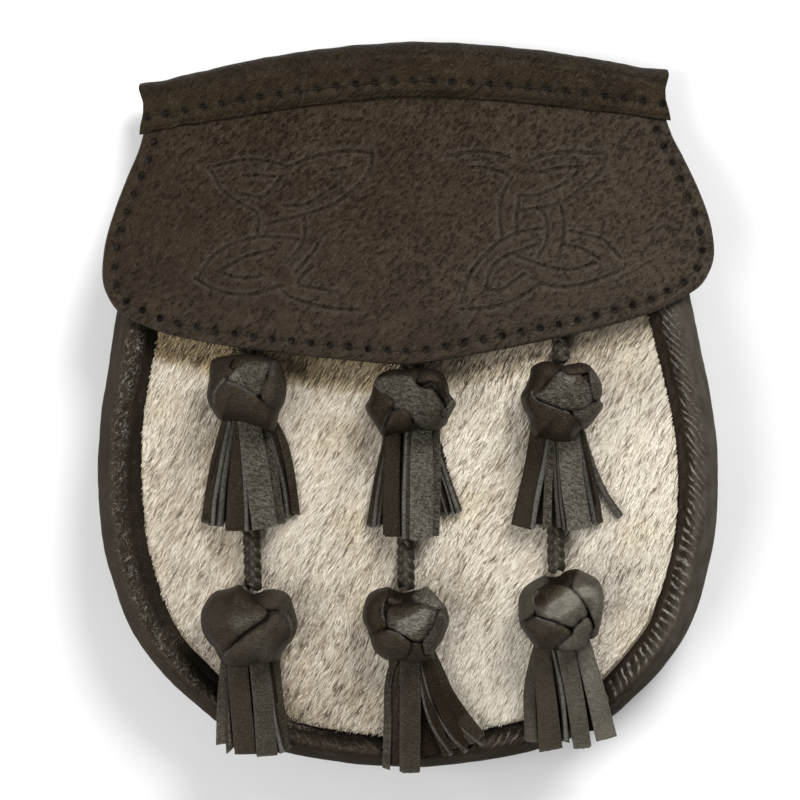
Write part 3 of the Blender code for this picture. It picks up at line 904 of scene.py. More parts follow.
def hair_material(name):
    """Hair coloured by its points' tone and ochre, which hold painted shade and shadow too."""
    s = Shader(name)
    colour = s.ramp(s.named("tone"), HAIR_TONES)
    patches = s.step(s.noise(22.0, 4.0), 0.35, 0.65)
    colour = s.blend(patches * 0.22, colour, HAIR_PATCH)
    colour = s.blend(s.named("ochre"), colour, OCHRE_TINT, "MULTIPLY")
    rough = s.noise(0.8) * 0.2 + 0.42
    return s.finish(colour, rough, s.noise(0.3), 0.15, Specular_IOR_Level=0.35)


def skin_material(name):
    """Hide under the hair: tan, with dark streaks that paint the shade between the hairs."""
    s = Shader(name)
    strands = s.noise(1.0, 4.0, 0.7, place=s.stretched(math.radians(60), 0.35, 3.2))
    colour = s.ramp(strands, ((0.25, (0.08, 0.06, 0.04)), (0.75, (0.30, 0.24, 0.165))))
    return s.finish(colour, s.noise(2.0) * 0.1 + 0.75, strands * 0.35)


def metal_material(name):
    s = Shader(name)
    wear_and_painted_light = s.noise(1.4, 4.0)
    colour = s.ramp(wear_and_painted_light, ((0.3, (0.30, 0.29, 0.27)), (0.7, (0.60, 0.58, 0.54))))
    return s.finish(colour, wear_and_painted_light * 0.2 + 0.22, wear_and_painted_light * 0.01, Metallic=1.0)


def thread_material(name):
    s = Shader(name)
    twist = s.noise(0.25, 2.0, place=s.stretched(math.radians(35), 0.25, 1.2))
    colour = s.ramp(twist, ((0.3, (0.006, 0.004, 0.003)), (0.7, (0.026, 0.019, 0.012))))
    return s.finish(colour, twist * 0.2 + 0.5, twist * 0.08, Specular_IOR_Level=0.15)


def floor_material(name):
    s = Shader(name)
    grain = s.noise(30.0, 3.0)
    colour = s.ramp(grain, ((0.3, (0.86, 0.86, 0.86)), (0.7, (0.88, 0.88, 0.88))))
    return s.finish(colour, grain * 0.05 + 0.8, grain * 0.01)


# ---------------------------------------------------------------- stage


def add_camera():
    data = bpy.data.cameras.new("camera")
    data.lens = CAMERA_LENS
    data.sensor_width = SENSOR
    data.clip_start, data.clip_end = CAMERA_CLIP
    obj = bpy.data.objects.new("camera", data)
    obj.location = CAMERA_PLACE
    obj.rotation_euler = (0.0, 0.0, CAMERA_TURN)
    bpy.context.scene.collection.objects.link(obj)
    bpy.context.scene.camera = obj


def add_lights():
    for name, place, size, watts in LIGHTS:
        data = bpy.data.lights.new(name, "AREA")
        data.shape = "DISK"
        data.size = size
        data.energy = watts
        obj = bpy.data.objects.new(name, data)
        obj.location = place
        aim = Vector(LIT_PLACE) - Vector(place)
        obj.rotation_euler = aim.to_track_quat("-Z", "Y").to_euler()
        bpy.context.scene.collection.objects.link(obj)
    world = bpy.data.worlds.new("studio")
    world.use_nodes = True
    sky = world.node_tree.nodes["Background"]
    sky.inputs["Color"].default_value = (1.0, 1.0, 1.0, 1.0)
    sky.inputs["Strength"].default_value = SKY_STRENGTH
    bpy.context.scene.world = world
    bpy.context.scene.view_settings.view_transform = "Standard"


def add_floor():
    corners = [(x * FLOOR_REACH, y * FLOOR_REACH, 0) for x, y in ((-1, -1), (1, -1), (1, 1), (-1, 1))]
    floor = build("floor", corners, [(0, 1, 2, 3)], smooth=False)
    floor.location.z = FLOOR_Z * MM
    coated(floor, floor_material("pale_floor"))


# ---------------------------------------------------------------- braided thongs

STRANDS = 3
BRAID_PITCH = 9.0
BRAID_ACROSS = 1.35
BRAID_DEPTH = 0.75
BRAID_STEP = 0.35
BRAID_LEAN = 0.45
STRAND_WIDTH = 2.7
STRAND_THICKNESS = 1.5
STRAND_CROWN = 0.55


def braid(name, points, material):
    """A flat braid of leather strands along a middle line."""
    middle = smooth_line(points)
    length = lengths_along(middle)[-1]
    line = even_points(middle, int(length / BRAID_STEP) + 2)
    along = directions(line)
    side = unit(np.cross(along, [0.0, 0.0, 1.0]))
    up = np.cross(side, along)
    at = lengths_along(line)
    pile = Pile()
    for k in range(STRANDS):
        phase = 2 * math.pi * (at / BRAID_PITCH + k / STRANDS)
        across = BRAID_ACROSS * np.sin(phase)
        depth = BRAID_DEPTH * np.sin(2 * phase)
        strand = line + side * across[:, None] + up * depth[:, None]
        lean = unit(up + side * (BRAID_LEAN * across / BRAID_ACROSS)[:, None])
        strand = strand - lean * STRAND_THICKNESS / 2
        thickness = STRAND_THICKNESS * 0.8
        strap(pile, strand, lean, STRAND_WIDTH, thickness, crown=STRAND_CROWN, across=5)
    obj = dressed(pile.made(f"braid_{name}"), material, [f"cord_{name}"])


# ---------------------------------------------------------------- rim

RIM_STEP = 0.46
RIDGE_PITCH = 1.65
RIDGE_ROWS = 30
FOLD_PITCH = 2.9
SECTION_STEPS = 8
# Where across the roll its inner slope starts to spread, and how much that lifts it
SPREAD_FROM = 0.72
SPREAD_LIFT = 0.35


def rim_section(line, normals):
    """Outer surface of the gusset: points of each section, and their widths from the outline."""
    y = line[:, 1]
    crest, width = rim_height(y), rim_width(y)
    foot = back_height(y) + LEATHER + SHEET_GAP
    shoulder = crest - GUSSET_ROLL[0][1] * RIM_RECESS
    insets = [np.full_like(y, distance) for distance, _ in GUSSET_WALL]
    heights = [mix(foot, shoulder, share) for _, share in GUSSET_WALL]
    insets += [share * width for share, _ in GUSSET_ROLL]
    heights += [crest - drop * RIM_RECESS for _, drop in GUSSET_ROLL]
    coarse = np.stack([np.array(insets), np.array(heights)], axis=-1)
    fine = smooth_line(coarse.reshape(len(coarse), -1), SECTION_STEPS)
    fine = fine.reshape(-1, len(y), 2)
    # The wall needs only every third of its rows
    wall = SECTION_STEPS * (len(GUSSET_WALL) - 1)
    fine = np.concatenate([fine[:wall:3], fine[wall:]]).transpose(1, 0, 2)
    spread = ease(SPREAD_FROM, 1.0, fine[..., 0] / width[:, None])
    fine[..., 1] += SPREAD_LIFT * spread
    fine[..., 0] += spread * rim_spread(*line.T)[:, None]
    flat = line[:, None] + normals[:, None] * fine[..., :1]
    return np.concatenate([flat, fine[..., 1:]], axis=-1), fine[..., 0]


def rim_spread(x, y):
    """How much further in the rim's inner slope lies at the lower corners."""
    left = 1.5 * ease(15, -35, y) * ease(-20, -60, x)
    return left + 0.9 * ease(-40, -70, y) * ease(15, 60, x)


def ridge_field(at, depth, x, y):
    """Height of the gathered ridges across the rim, in millimetres."""
    rng = np.random.default_rng(5)
    raised = np.zeros_like(depth)
    place = 0.0
    while place < at[-1]:
        k = min(int(np.searchsorted(at, place)), len(at) - 1)
        right = x[k] > 0
        puffy = right and y[k] < -55
        place += RIDGE_PITCH * (1.22 if right else 1.0) * rng.uniform(0.7, 1.3)
        wide = rng.uniform(0.30, 0.50) * (1.6 if puffy else 1.0)
        high = rng.uniform(0.15, 0.40) if puffy else rng.uniform(0.0, 0.34)
        high *= 0.5 if right else 1.0
        middle = rng.uniform(5.6, 7.4) if right else rng.uniform(6.6, 8.4)
        reach = rng.uniform(2.4, 4.0) if right else rng.uniform(1.2, 2.6)
        slant = rng.uniform(0.7, 1.3) if right else -rng.uniform(0.5, 1.4)
        curl = 0.10 if right else rng.uniform(-0.15, 0.15)
        near = slice(max(k - RIDGE_ROWS, 0), k + RIDGE_ROWS + 1)
        across = depth[near] - middle
        away = at[near, None] - place - slant * across - curl * across**2
        raised[near] += high * np.exp(-((away / wide) ** 2)) * np.exp(-((across / reach) ** 4))
    return raised


def rim_looks(line, at, depth, share, raised):
    """Values of the rim's points: depth is their distance and share their part of its width."""
    x, y = line[:, :1], line[:, 1:]
    right = ease(-20, 70, x)
    bottom = ease(-70, -100, y)
    corner = ease(10, 50, x) * ease(-25, -55, y)
    # Painted shade on the roll's inner slope, darker towards the bottom, and painted shade between the
    # gathered ridges, less on them
    dark_from = mix(0.74, 0.87, corner)
    dirt = mix(0.55, 0.45, right) * ease(dark_from, dark_from + 0.14, share)
    gathered = ease(4.5, 6.5, depth) * (1 - ease(9.8, 11.0, depth))
    dirt = np.clip(dirt + 0.25 * bottom + gathered * (0.16 - 0.9 * raised), 0, 1)
    streaks = np.clip(0.5 + 0.5 * wander(at * 0.5, depth * 1.2, 2.2, 6), 0, 1)
    # Painted highlights on the raised ridges, painted light on the lit outer zone of the right side, and a
    # little lighter over the outer part except at the bottom
    wear_and_painted_light = mix(0.35, 0.3, right) * np.clip(raised / 0.5, 0, 1) * ease(4.0, 6.0, depth)
    wear_and_painted_light += (0.30 + 0.34 * streaks) * right * (1 - ease(7.5, 10.0, depth)) * (1 - bottom)
    wear_and_painted_light += 0.10 * (1 - ease(9.5, 11.0, depth)) * (1 - bottom)
    band = (1 - ease(0.70, 0.80, share)) * (1 - 0.6 * bottom)
    patchy = np.clip(0.90 + 0.35 * wander(at, depth, 6.0, 7), 0, 1)
    fading = ease(mix(0.30, 0.46, corner), mix(0.70, 0.66, corner), share)
    lined = ease(15, 45, x) * fading * (1 - ease(dark_from, dark_from + 0.06, share)) * patchy
    slant = mix(1.5, 0.4, corner)
    crumpled = 1 - ease(10, 40, x) + 0.55 * ease(15, 45, x) * ease(-20, 20, y)
    return {
        "dirt": dirt,
        "wear_and_painted_light": np.clip(wear_and_painted_light, 0, 1),
        "shine": ease(5.0, 7.5, depth) * (1 - ease(9.5, 11.5, depth)),
        "dull": 1 - ease(1.6, 4.2, depth),
        "lined": lined,
        "fold_at": (at - slant * (depth - 7.5) + 0.6 * wander(at, depth, 7.0, 8)) / FOLD_PITCH,
        "crumpled": crumpled * ease(4.4, 6.0, depth) * band * patchy,
    }


def rim(material):
    """Gusset and padded rim as one gathered leather surface, with its inner side closed."""
    line = even_points(BODY_LINE, int(lengths_along(BODY_LINE)[-1] / RIM_STEP))
    points, depth = rim_section(line, inside_of(line))
    along = directions(points.reshape(len(line), -1)).reshape(points.shape)
    across = directions(points.transpose(1, 0, 2)).transpose(1, 0, 2)
    outward = unit(np.cross(unit(along), across))
    share = depth / rim_width(line[:, 1:])
    at = lengths_along(line)
    raised = ridge_field(at, depth, *line.T)
    at = np.broadcast_to(at[:, None], depth.shape)
    lumps = 0.28 * wander(at, depth * 2.0, 9.0, 3) + 0.10 * wander(at, depth * 3.0, 2.6, 4)
    lift = lumps * mix(0.3, 0.8, ease(2.0, 6.0, depth)) + raised - 0.12
    lift *= 1 - ease(0.84, 1.0, share)
    lift[:, 0] = 0.0
    outer = points + outward * lift[..., None]
    # The inner side has its points under these columns, from the roll's inner edge to the foot
    last = points.shape[1] - 1
    under = [last, last - 7, last - 21, 14, 8, 3, 0]
    inner = points[:, under] - outward[:, under] * GUSSET_LEATHER
    looks = rim_looks(line, at, depth, share, raised)
    obj = lined_leather("rim", outer, inner, under, looks, inside={"dull": 1.0}, flipped=True)
    dressed(obj, material, ["side_gusset"])


# ---------------------------------------------------------------- hide and hair

HIDE_POINTS = 220
MOUTH_POINTS = 42
HAIR_HALF_WIDTH = 94
HAIR_LOW_Y = -111
HAIR_TOP_Y = 47.0
HAIR_PIECES = 3
HAIRS_A_PIECE = 58000
HAIR_ANGLE = math.radians(239)
HAIR_LENGTH = (3.0, 6.0)
HAIR_WIDTH = (0.12, 0.27)
FLECK_WIDTH = (0.15, 0.27)
HAIR_SPREAD = math.radians(5)
LOCK_WIDTH = 0.8
LOCK_LENGTH = 3.4
LOCK_COUNT = 65521
LOCK_PRIMES = (7919, 104729)
# Share of a head's size that keeps hairs off it
HEAD_BARE_SHARE = 0.42
# A hair that comes nearer to the rim than this is made this much shorter, so many times
TIP_CLEAR = 0.12
SHORTER = 0.75
SHORTENINGS = 5
# Share of dark flecks anywhere, in the darkest locks, and in the flap's shade, where they paint its shadow
FLECKS = (0.035, 0.19, 0.10)
DARKEST_LOCKS = -0.80
FRONT_CORNERS = ((-96, -114), (96, 66))


def hide_outline():
    """The panel's edge inside the rim, and its top under the flap."""
    line = even_points(BODY_LINE, HIDE_POINTS)
    edge = line + inside_of(line) * (rim_width(line[:, 1]) + GAP)[:, None]
    end_x, end_y = edge[-1]
    x = np.linspace(end_x, -end_x, MOUTH_POINTS)[1:-1]
    mouth = np.stack([x, end_y + MOUTH_ARCH * (1 - (x / end_x) ** 2)], axis=1)
    return np.concatenate([edge, mouth])


def hide(material):
    """The panel's own skin, under the hair."""
    outline = hide_outline()
    flat, tris = filled_sheet(outline, spread_points(outline, spacing=2.6, clear=1.2))
    x, y = flat.T
    height = panel_height(x, y)
    top = height - 0.15 + 0.12 * wander(x, y, 7.0, 8)
    obj = build("hide", *doubled_sheet(flat, tris, top, height - HIDE))
    obj.data.set_sharp_from_angle(angle=math.radians(50))
    dressed(obj, material, ["front_panel"])


def hair_roots(rng, count, edges):
    """Places of the hairs. They keep off the heads and, unless they point inwards, the rim."""
    kept = []
    total = 0
    while total < count:
        x = rng.uniform(-HAIR_HALF_WIDTH, HAIR_HALF_WIDTH, count)
        y = rng.uniform(HAIR_LOW_Y, HAIR_TOP_Y, count)
        room = edges(x, y)
        inwards = edges(x + math.cos(HAIR_ANGLE), y + math.sin(HAIR_ANGLE)) - room
        inside = room > rng.uniform(0.1, 0.6, count) - 0.5 * np.clip(inwards, 0, 1)
        for _, (head_x, head_y), (width, height), _ in TASSELS:
            across = (x - head_x) / (HEAD_BARE_SHARE * width)
            up = (y - head_y) / (HEAD_BARE_SHARE * height)
            inside &= across**2 + up**2 > 1
        found = np.stack([x[inside], y[inside]], axis=1)
        kept.append(found[within(BODY_LINE[::4], found)])
        total += len(kept[-1])
    return np.concatenate(kept)[:count]


def room_for(x, y, turn, length, edges):
    """How much of each hair's length fits before its tip climbs the rim."""
    share = np.ones(len(x))
    for _ in range(SHORTENINGS):
        tip_x = x + np.cos(turn) * length * share
        tip_y = y + np.sin(turn) * length * share
        share = np.where(edges(tip_x, tip_y) < TIP_CLEAR, share * SHORTER, share)
    return share


def lock_values(roots):
    """Three numbers from -1 to 1 for each hair, the same for all hairs of a lock."""
    lay = np.array([math.cos(HAIR_ANGLE), math.sin(HAIR_ANGLE)])
    square = np.array([-lay[1], lay[0]])
    x, y = roots.T
    row = roots @ square / LOCK_WIDTH + 0.35 * wander(x, y, 9.0, 21)
    row = np.floor(row).astype(int)
    column = roots @ lay / LOCK_LENGTH + 0.5 * (row % 2) + 0.4 * wander(x, y, 6.0, 22)
    column = np.floor(column).astype(int)
    lock = (row * LOCK_PRIMES[0] + column * LOCK_PRIMES[1]) % LOCK_COUNT
    return np.random.default_rng(12).uniform(-1, 1, (LOCK_COUNT, 3))[lock]


def flap_shade(x, y):
    """How much the hair lies in the shade of the flap's lower edge."""
    rows = np.array(FLAP_OUTLINE[::-1])
    rows = rows[: rows[:, 0].argmax() + 1]
    return ease(-8.6, -4.8, y - np.interp(np.abs(x), *rows.T))


def hair_looks(rng, roots, shared, lift, fleck):
    """Lightness and ochre of each hair's five points, in the order of ribbons()."""
    x, y = roots.T
    count = len(roots)
    under = flap_shade(x, y)
    tone = 0.875 + 0.13 * shared[:, 2] + rng.normal(0, 0.10, count)
    # Uneven, and lighter towards the right, partly the hair's colour and partly painted light
    tone += 0.05 * wander(x, y, 26.0, 24) + 0.0012 * x
    # Hairs that lie lower are darker, a painted shade under the hairs above them
    tone -= 0.30 * (1 - lift) ** 2
    tone = np.where(fleck, rng.uniform(0.05, 0.38, count), tone)
    tone -= 0.24 * ease(-60, -95, y) * ease(10, -30, x)
    tone += 0.22 * ease(-55, -75, y) * ease(0, 18, x)
    # Painted shadow below the flap's edge, darker and ochre, and ochre stains elsewhere
    tone -= under * mix(0.21, 0.10, ease(-40, 60, x))
    ochre = under * mix(0.85, 0.3, ease(-60, 60, x))
    ochre = np.maximum(ochre, 0.24 * np.clip(wander(x, y, 14.0, 25) - 0.2, 0, 1))
    tones = np.clip(tone, 0, 1)[:, None] + np.array([-0.10, -0.10, 0.0, 0.0, 0.05])
    return {"tone": np.clip(tones, 0, 1).ravel(), "ochre": np.repeat(ochre, 5)}


def ribbons(low, mid, end, across):
    """Flat tapered ribbons from their roots to their tips: points, quads and triangles."""
    corners = [low - across, low + across, mid + across, mid - across, end]
    start = (np.arange(len(low)) * len(corners))[:, None]
    points = np.stack(corners, axis=1).reshape(-1, 3)
    return points, start + np.array([0, 1, 2, 3]), start + np.array([3, 2, 4])


def hairs(piece, ground, edges, material):
    """One third of the hairs, each a flat tapered ribbon that lies down the panel."""
    rng = np.random.default_rng(40 + piece)
    roots = hair_roots(rng, HAIRS_A_PIECE, edges)
    count = len(roots)
    x, y = roots.T
    shared = lock_values(roots)

    # Each hair bends towards its own lock's tip
    turn = HAIR_ANGLE + math.radians(4) * wander(x, y, 30.0, 23)
    turn = turn + HAIR_SPREAD * shared[:, 0] + rng.normal(0, HAIR_SPREAD, count)
    bend = rng.normal(0, HAIR_SPREAD, count) + HAIR_SPREAD * shared[:, 1]
    length = rng.uniform(*HAIR_LENGTH, count)
    lift = rng.uniform(0.1, 0.9, count) ** 1.2
    fleck_lift = rng.uniform(0.55, 0.95, count)
    length = length * room_for(x, y, turn, length, edges)
    roll = rng.uniform(-1.0, 1.0, count)
    first = np.stack([np.cos(turn), np.sin(turn)], axis=1)
    second = np.stack([np.cos(turn + bend), np.sin(turn + bend)], axis=1)
    middle = roots + first * (length * 0.5)[:, None]
    tip = middle + second * (length * 0.5)[:, None]

    # Dark flecks are single hairs and whole locks, and more of them under the flap paint its shadow
    anywhere, in_locks, in_shade = FLECKS
    dark_share = anywhere + in_locks * (shared[:, 2] < DARKEST_LOCKS) + in_shade * flap_shade(x, y)
    fleck = rng.uniform(0, 1, count) < dark_share
    lift = np.where(fleck, fleck_lift, lift)
    low = np.column_stack([roots, ground(x, y) - 0.1])
    mid = np.column_stack([middle, ground(*middle.T) + lift])
    end = np.column_stack([tip, ground(*tip.T) + lift * 0.55 + 0.1])
    wide = np.where(fleck, rng.uniform(*FLECK_WIDTH, count), rng.uniform(*HAIR_WIDTH, count))
    wide = wide[:, None] / 2
    lean = [-first[:, 1] * np.cos(roll), first[:, 0] * np.cos(roll), np.sin(roll)]
    strands = ribbons(low, mid, end, np.column_stack(lean) * wide)
    looks = hair_looks(rng, roots, shared, lift, fleck)
    dressed(build(f"hair_{piece}", *strands, looks, smooth=False), material)


def all_hair(material):
    """The hair, in pieces that lie on the panel and keep off the rim."""
    ground = Grid(front_height, *FRONT_CORNERS)
    edges = Grid(
        lambda x, y: depth_inside(x, y) - rim_width(y) - rim_spread(x, y), *FRONT_CORNERS
    )
    for piece in range(HAIR_PIECES):
        hairs(piece, ground, edges, material)


# ---------------------------------------------------------------- flap

OUTLINE_STEP = 0.8
GROOVE_STEP = 0.55
FLAP_TOP_POINTS = 120
# Distances of the rows of points from the edge and from a groove's middle, and the radius
# and number of points of the rings round a hole
FLAP_EDGE_ROWS = (0.3, 0.7, 1.3)
GROOVE_ROWS = (-0.8, -0.35, 0.0, 0.35, 0.8)
HOLE_RINGS = ((0.45, 6), (0.9, 9), (1.35, 11))
FLAP_EDGE_THICKNESS = 0.35
FLAP_EDGE_ROUNDING = 0.9
SEAM_INSET = 3.9
SEAM_PITCH = 5.7
SEAM_POINTS = 900
HOLE_RADIUS = 1.08
HOLE_DEPTH = 0.75
CHANNEL_DEPTH = 0.16
CHANNEL_HALF_WIDTH = 0.9
SEAM_TOP_Y = 90.0
THREAD_RADIUS = 0.16
THREAD_SIDES = 6
FLAP_STITCH_DIVE = 0.5
BINDING_STITCH_DIVE = 0.6
GROOVE_DEPTH = 0.50
GROOVE_HALF_WIDTH = 0.30
LIP_HEIGHT = 0.13
LIP_AWAY = 0.95
LIP_HALF_WIDTH = 0.45
KNOT_LEFT = (
    # grooves of the left interlace knot, as points (x, y)
    ((-57.7, 72.9), (-52.4, 74.4), (-45.2, 75.3), (-38.4, 74.2), (-34.0, 72.6)),
    ((-57.7, 72.9), (-55.8, 69.9), (-54.1, 66.3), (-48.5, 61.7), (-43.3, 58.3), (-43.2, 51.8)),
    ((-47.4, 70.3), (-42.4, 70.1), (-37.7, 69.7)),
    ((-36.2, 69.4), (-38.3, 66.2), (-40.8, 63.9)),
    ((-48.2, 64.7), (-45.5, 64.0), (-42.6, 63.3)),
    ((-32.5, 73.1), (-27.4, 75.1), (-21.2, 76.6), (-14.6, 77.1), (-8.0, 76.1)),
    ((-8.0, 76.1), (-9.5, 70.2), (-14.0, 65.2), (-20.4, 60.4), (-27.9, 57.9), (-34.5, 56.3), (-39.8, 55.2)),
    ((-20.7, 71.1), (-16.2, 71.8)),
    ((-17.8, 67.4), (-23.9, 63.4), (-29.0, 60.6), (-35.2, 60.5)),
    ((-29.1, 56.7), (-28.9, 51.4), (-30.8, 47.0), (-34.8, 42.9)),
    ((-24.2, 50.1), (-26.7, 45.7), (-31.9, 39.9)),
    ((-61.0, 39.2), (-56.4, 45.6), (-50.1, 49.3), (-42.9, 50.9), (-36.7, 50.7), (-30.8, 50.0)),
    ((-61.6, 38.9), (-56.6, 35.8), (-50.5, 33.9), (-43.3, 34.0), (-36.5, 36.2)),
    ((-54.7, 40.8), (-48.1, 44.5), (-43.0, 46.0), (-38.2, 47.2)),
    ((-54.7, 40.8), (-50.3, 39.2), (-46.2, 38.6), (-41.4, 39.3)),
    ((-35.9, 34.4), (-32.1, 31.9), (-22.4, 29.0), (-12.9, 28.1)),
    ((-31.1, 37.5), (-30.5, 36.0), (-24.6, 34.7), (-19.6, 33.5)),
    ((-31.1, 37.5), (-28.7, 39.8), (-26.5, 41.8)),
)
KNOT_RIGHT = (
    # grooves of the right interlace knot
    ((14.2, 74.6), (21.8, 75.9), (28.3, 75.3), (33.3, 73.6)),
    ((20.8, 71.0), (25.9, 70.7), (32.6, 68.5)),
    ((33.8, 67.6), (31.0, 62.6), (29.7, 57.6), (29.6, 53.7), (29.9, 49.3)),
    ((35.4, 61.6), (35.3, 58.6), (34.5, 55.7), (34.5, 50.6)),
    ((39.6, 72.7), (44.0, 74.1), (50.6, 75.1), (58.0, 74.5), (62.7, 73.9)),
    ((62.7, 73.9), (61.7, 70.7), (58.7, 66.9), (53.2, 62.6), (47.8, 59.2), (42.1, 57.8), (35.3, 57.1)),
    ((42.4, 68.8), (46.9, 69.9), (51.9, 70.2), (55.5, 70.2)),
    ((55.5, 70.2), (52.5, 67.4), (48.2, 64.5), (41.3, 61.7), (36.0, 61.7)),
    ((42.1, 57.2), (43.5, 53.9), (43.2, 47.4), (40.2, 42.2)),
    ((47.8, 58.6), (48.6, 54.7), (48.1, 48.2), (45.8, 40.5)),
    ((41.7, 51.3), (35.1, 50.3), (29.1, 47.5), (23.6, 42.6), (19.9, 37.7), (17.4, 30.3)),
    ((16.7, 27.4), (24.7, 27.7), (31.6, 29.3), (37.0, 32.2), (41.2, 35.0)),
    ((40.9, 46.6), (29.9, 42.7), (25.9, 38.4), (24.6, 33.1)),
    ((24.6, 33.1), (28.7, 33.0), (32.6, 35.2), (36.3, 37.8)),
    ((50.8, 50.2), (56.7, 48.6), (60.8, 47.0), (65.1, 41.8)),
    ((65.9, 38.5), (59.4, 35.9), (53.4, 34.1), (47.1, 33.4), (41.5, 34.4)),
    ((47.8, 46.4), (53.7, 44.8), (58.6, 41.7)),
    ((57.7, 40.5), (51.7, 38.9), (47.3, 38.7), (39.3, 40.9), (32.6, 43.8)),
)


def flap_outline():
    """The flap's outline, from its right top corner down, round and back over the top."""
    side = smooth_line(FLAP_OUTLINE)
    side = even_points(side, int(lengths_along(side)[-1] / OUTLINE_STEP))
    left = side[:-1][::-1] * (-1, 1)
    top_x = np.linspace(-FLAP_OUTLINE[0][0], FLAP_OUTLINE[0][0], FLAP_TOP_POINTS)
    top = np.stack([top_x, top_edge(top_x) - EDGE_INSIDE_FOLD], axis=1)
    x, y = np.concatenate([side, left, top]).T
    hang = 1 - ease(30.0, FLAP_OUTLINE[0][1], y)
    count = len(side) + len(left)
    return np.stack([x + TOP_SHIFT, y + FLAP_SKEW * x * hang], axis=1), count


def offset_line(line, distance):
    """A line moved to its left, seen along it."""
    return line + inside_of(line) * distance


def knot_lines():
    """Dense lines along the grooves of both knots."""
    lines = [smooth_line(groove) for groove in KNOT_LEFT + KNOT_RIGHT]
    return [even_points(line, int(lengths_along(line)[-1] / GROOVE_STEP) + 2) for line in lines]


def groove_shape(distance):
    """Height beside a tooled groove: its valley, and the low lips pushed up along it."""
    valley = -GROOVE_DEPTH * np.exp(-((distance / GROOVE_HALF_WIDTH) ** 2))
    return valley + LIP_HEIGHT * np.exp(-(((distance - LIP_AWAY) / LIP_HALF_WIDTH) ** 2))


def seam_holes(line):
    """Places of the stitch holes along a line, evenly a stitch apart."""
    return even_points(line, int(lengths_along(line)[-1] / SEAM_PITCH) + 1)


def hole_share(points, holes):
    """How much each place lies in a stitch hole."""
    return np.exp(-((distance_to(points, holes) / HOLE_RADIUS) ** 3))


def seam_sunk(points, line, holes):
    """Depth that a seam pulls into the leather: a shallow channel and its holes."""
    channel = CHANNEL_DEPTH * np.exp(-((distance_to(points, line) / CHANNEL_HALF_WIDTH) ** 2))
    return channel + HOLE_DEPTH * hole_share(points, holes)


def stitches(name, holes, height, dive, thread):
    """Thread over a seam: it lies at a height between the holes and dives into them."""
    pile = Pile()
    t = np.linspace(0.04, 0.96, 9)
    for a, b in zip(holes, holes[1:]):
        line = mix(a, b, t[:, None])
        z = height(line) - dive * np.abs(2 * t - 1) ** 3
        tube(pile, np.column_stack([line, z]), THREAD_RADIUS, THREAD_SIDES)
    dressed(pile.made(name), thread)


def flap_points(outline, grooves, holes):
    """Places inside the flap's outline, close together at its edge, grooves and holes."""
    rows = [offset_line(outline, -d) for d in FLAP_EDGE_ROWS]
    for line in grooves:
        rows += [offset_line(line, d) for d in GROOVE_ROWS]
    rows.append(holes)
    for radius, count in HOLE_RINGS:
        turn = np.linspace(0, 2 * math.pi, count, endpoint=False)
        ring = np.stack([np.cos(turn), np.sin(turn)], axis=1) * radius
        rows.append((holes[:, None] + ring[None]).reshape(-1, 2))
    plain = dict(plain_spacing=1.35, plain_clear=0.9, plain_apart=0.55)
    return detailed_points(outline, rows, apart=0.24, clear=0.22, **plain)


def flap_top(points, outline, grooves, seam, holes):
    """Height of the flap's outer face, with its pressed knots, its seam and its rounded edge."""
    x, y = points.T
    slope_x = flap_height(x + 0.5, y) - flap_height(x - 0.5, y)
    slope_y = flap_height(x, y + 0.5) - flap_height(x, y - 0.5)
    z = flap_height(x, y) + LEATHER * np.sqrt(1 + slope_x**2 + slope_y**2)
    z += groove_shape(distance_to(points, grooves))
    z -= seam_sunk(points, seam, holes)
    z += 0.12 * wander(x, y, 16.0, 31) + 0.05 * wander(x, y, 5.0, 32)
    inset = np.clip(distance_to(points, outline), 0.0, 1.0)
    return z - FLAP_EDGE_ROUNDING * (1 - np.sqrt(1 - (1 - inset) ** 2))


def flap_looks(points, outline, grooves, holes):
    """Values of the flap's outer points: painted shade and highlights, and its cut edges."""
    x, y = points.T
    away = distance_to(points, grooves)
    inset = distance_to(points, outline)
    # Painted shade in the stitch holes and along the grooves
    dirt = np.clip(1.9 * hole_share(points, holes), 0, 1) + 0.40 * np.exp(-((away / 0.38) ** 2))
    # Lighter towards the right and the bottom, and painted highlights on the lips beside the grooves
    wear_and_painted_light = 0.11 * ease(-20, 90, x) + 0.11 * ease(60, 20, y)
    wear_and_painted_light += 0.20 * np.exp(-(((away - 0.85) / 0.35) ** 2))
    edge = 0.18 * (1 - ease(0.2, 0.8, inset)) * ease(60, 30, y) * (0.4 + ease(0, -60, x))
    return {"dirt": np.clip(dirt, 0, 1), "wear_and_painted_light": wear_and_painted_light, "edge": edge}


def flap(material, thread):
    """The flap with its pressed knots, and the stitches along its edge."""
    outline, hanging = flap_outline()
    seam = offset_line(outline[:hanging], -SEAM_INSET)
    seam = even_points(seam[seam[:, 1] < SEAM_TOP_Y], SEAM_POINTS)
    holes = seam_holes(seam)
    lines = knot_lines()
    grooves = np.concatenate(lines)
    flat, tris = filled_sheet(outline, flap_points(outline, lines, holes))
    upper = np.column_stack([flat, flap_top(flat, outline, grooves, seam, holes)])
    low_flat, low_tris = filled_sheet(outline, spread_points(outline, spacing=3.5, clear=1.6))
    lower = np.column_stack([low_flat, flap_height(*low_flat.T)])
    border = distance_to(low_flat, outline) < ON_EDGE
    edge_top = flap_top(low_flat[border], outline, grooves, seam, holes)
    lower[border, 2] = edge_top - FLAP_EDGE_THICKNESS
    looks = flap_looks(flat, outline, grooves, holes)
    pad = np.zeros(len(lower))
    looks = {key: np.concatenate([value, pad]) for key, value in looks.items()}
    sheet = closed_sheet(outline, upper, tris, lower, low_tris)
    dressed(build("flap_leather", *sheet, looks), material, ["flap"])

    def thread_height(points):
        return flap_top(points, outline, grooves, seam, holes) + 0.02

    stitches("flap_stitches", holes, thread_height, FLAP_STITCH_DIVE, thread)


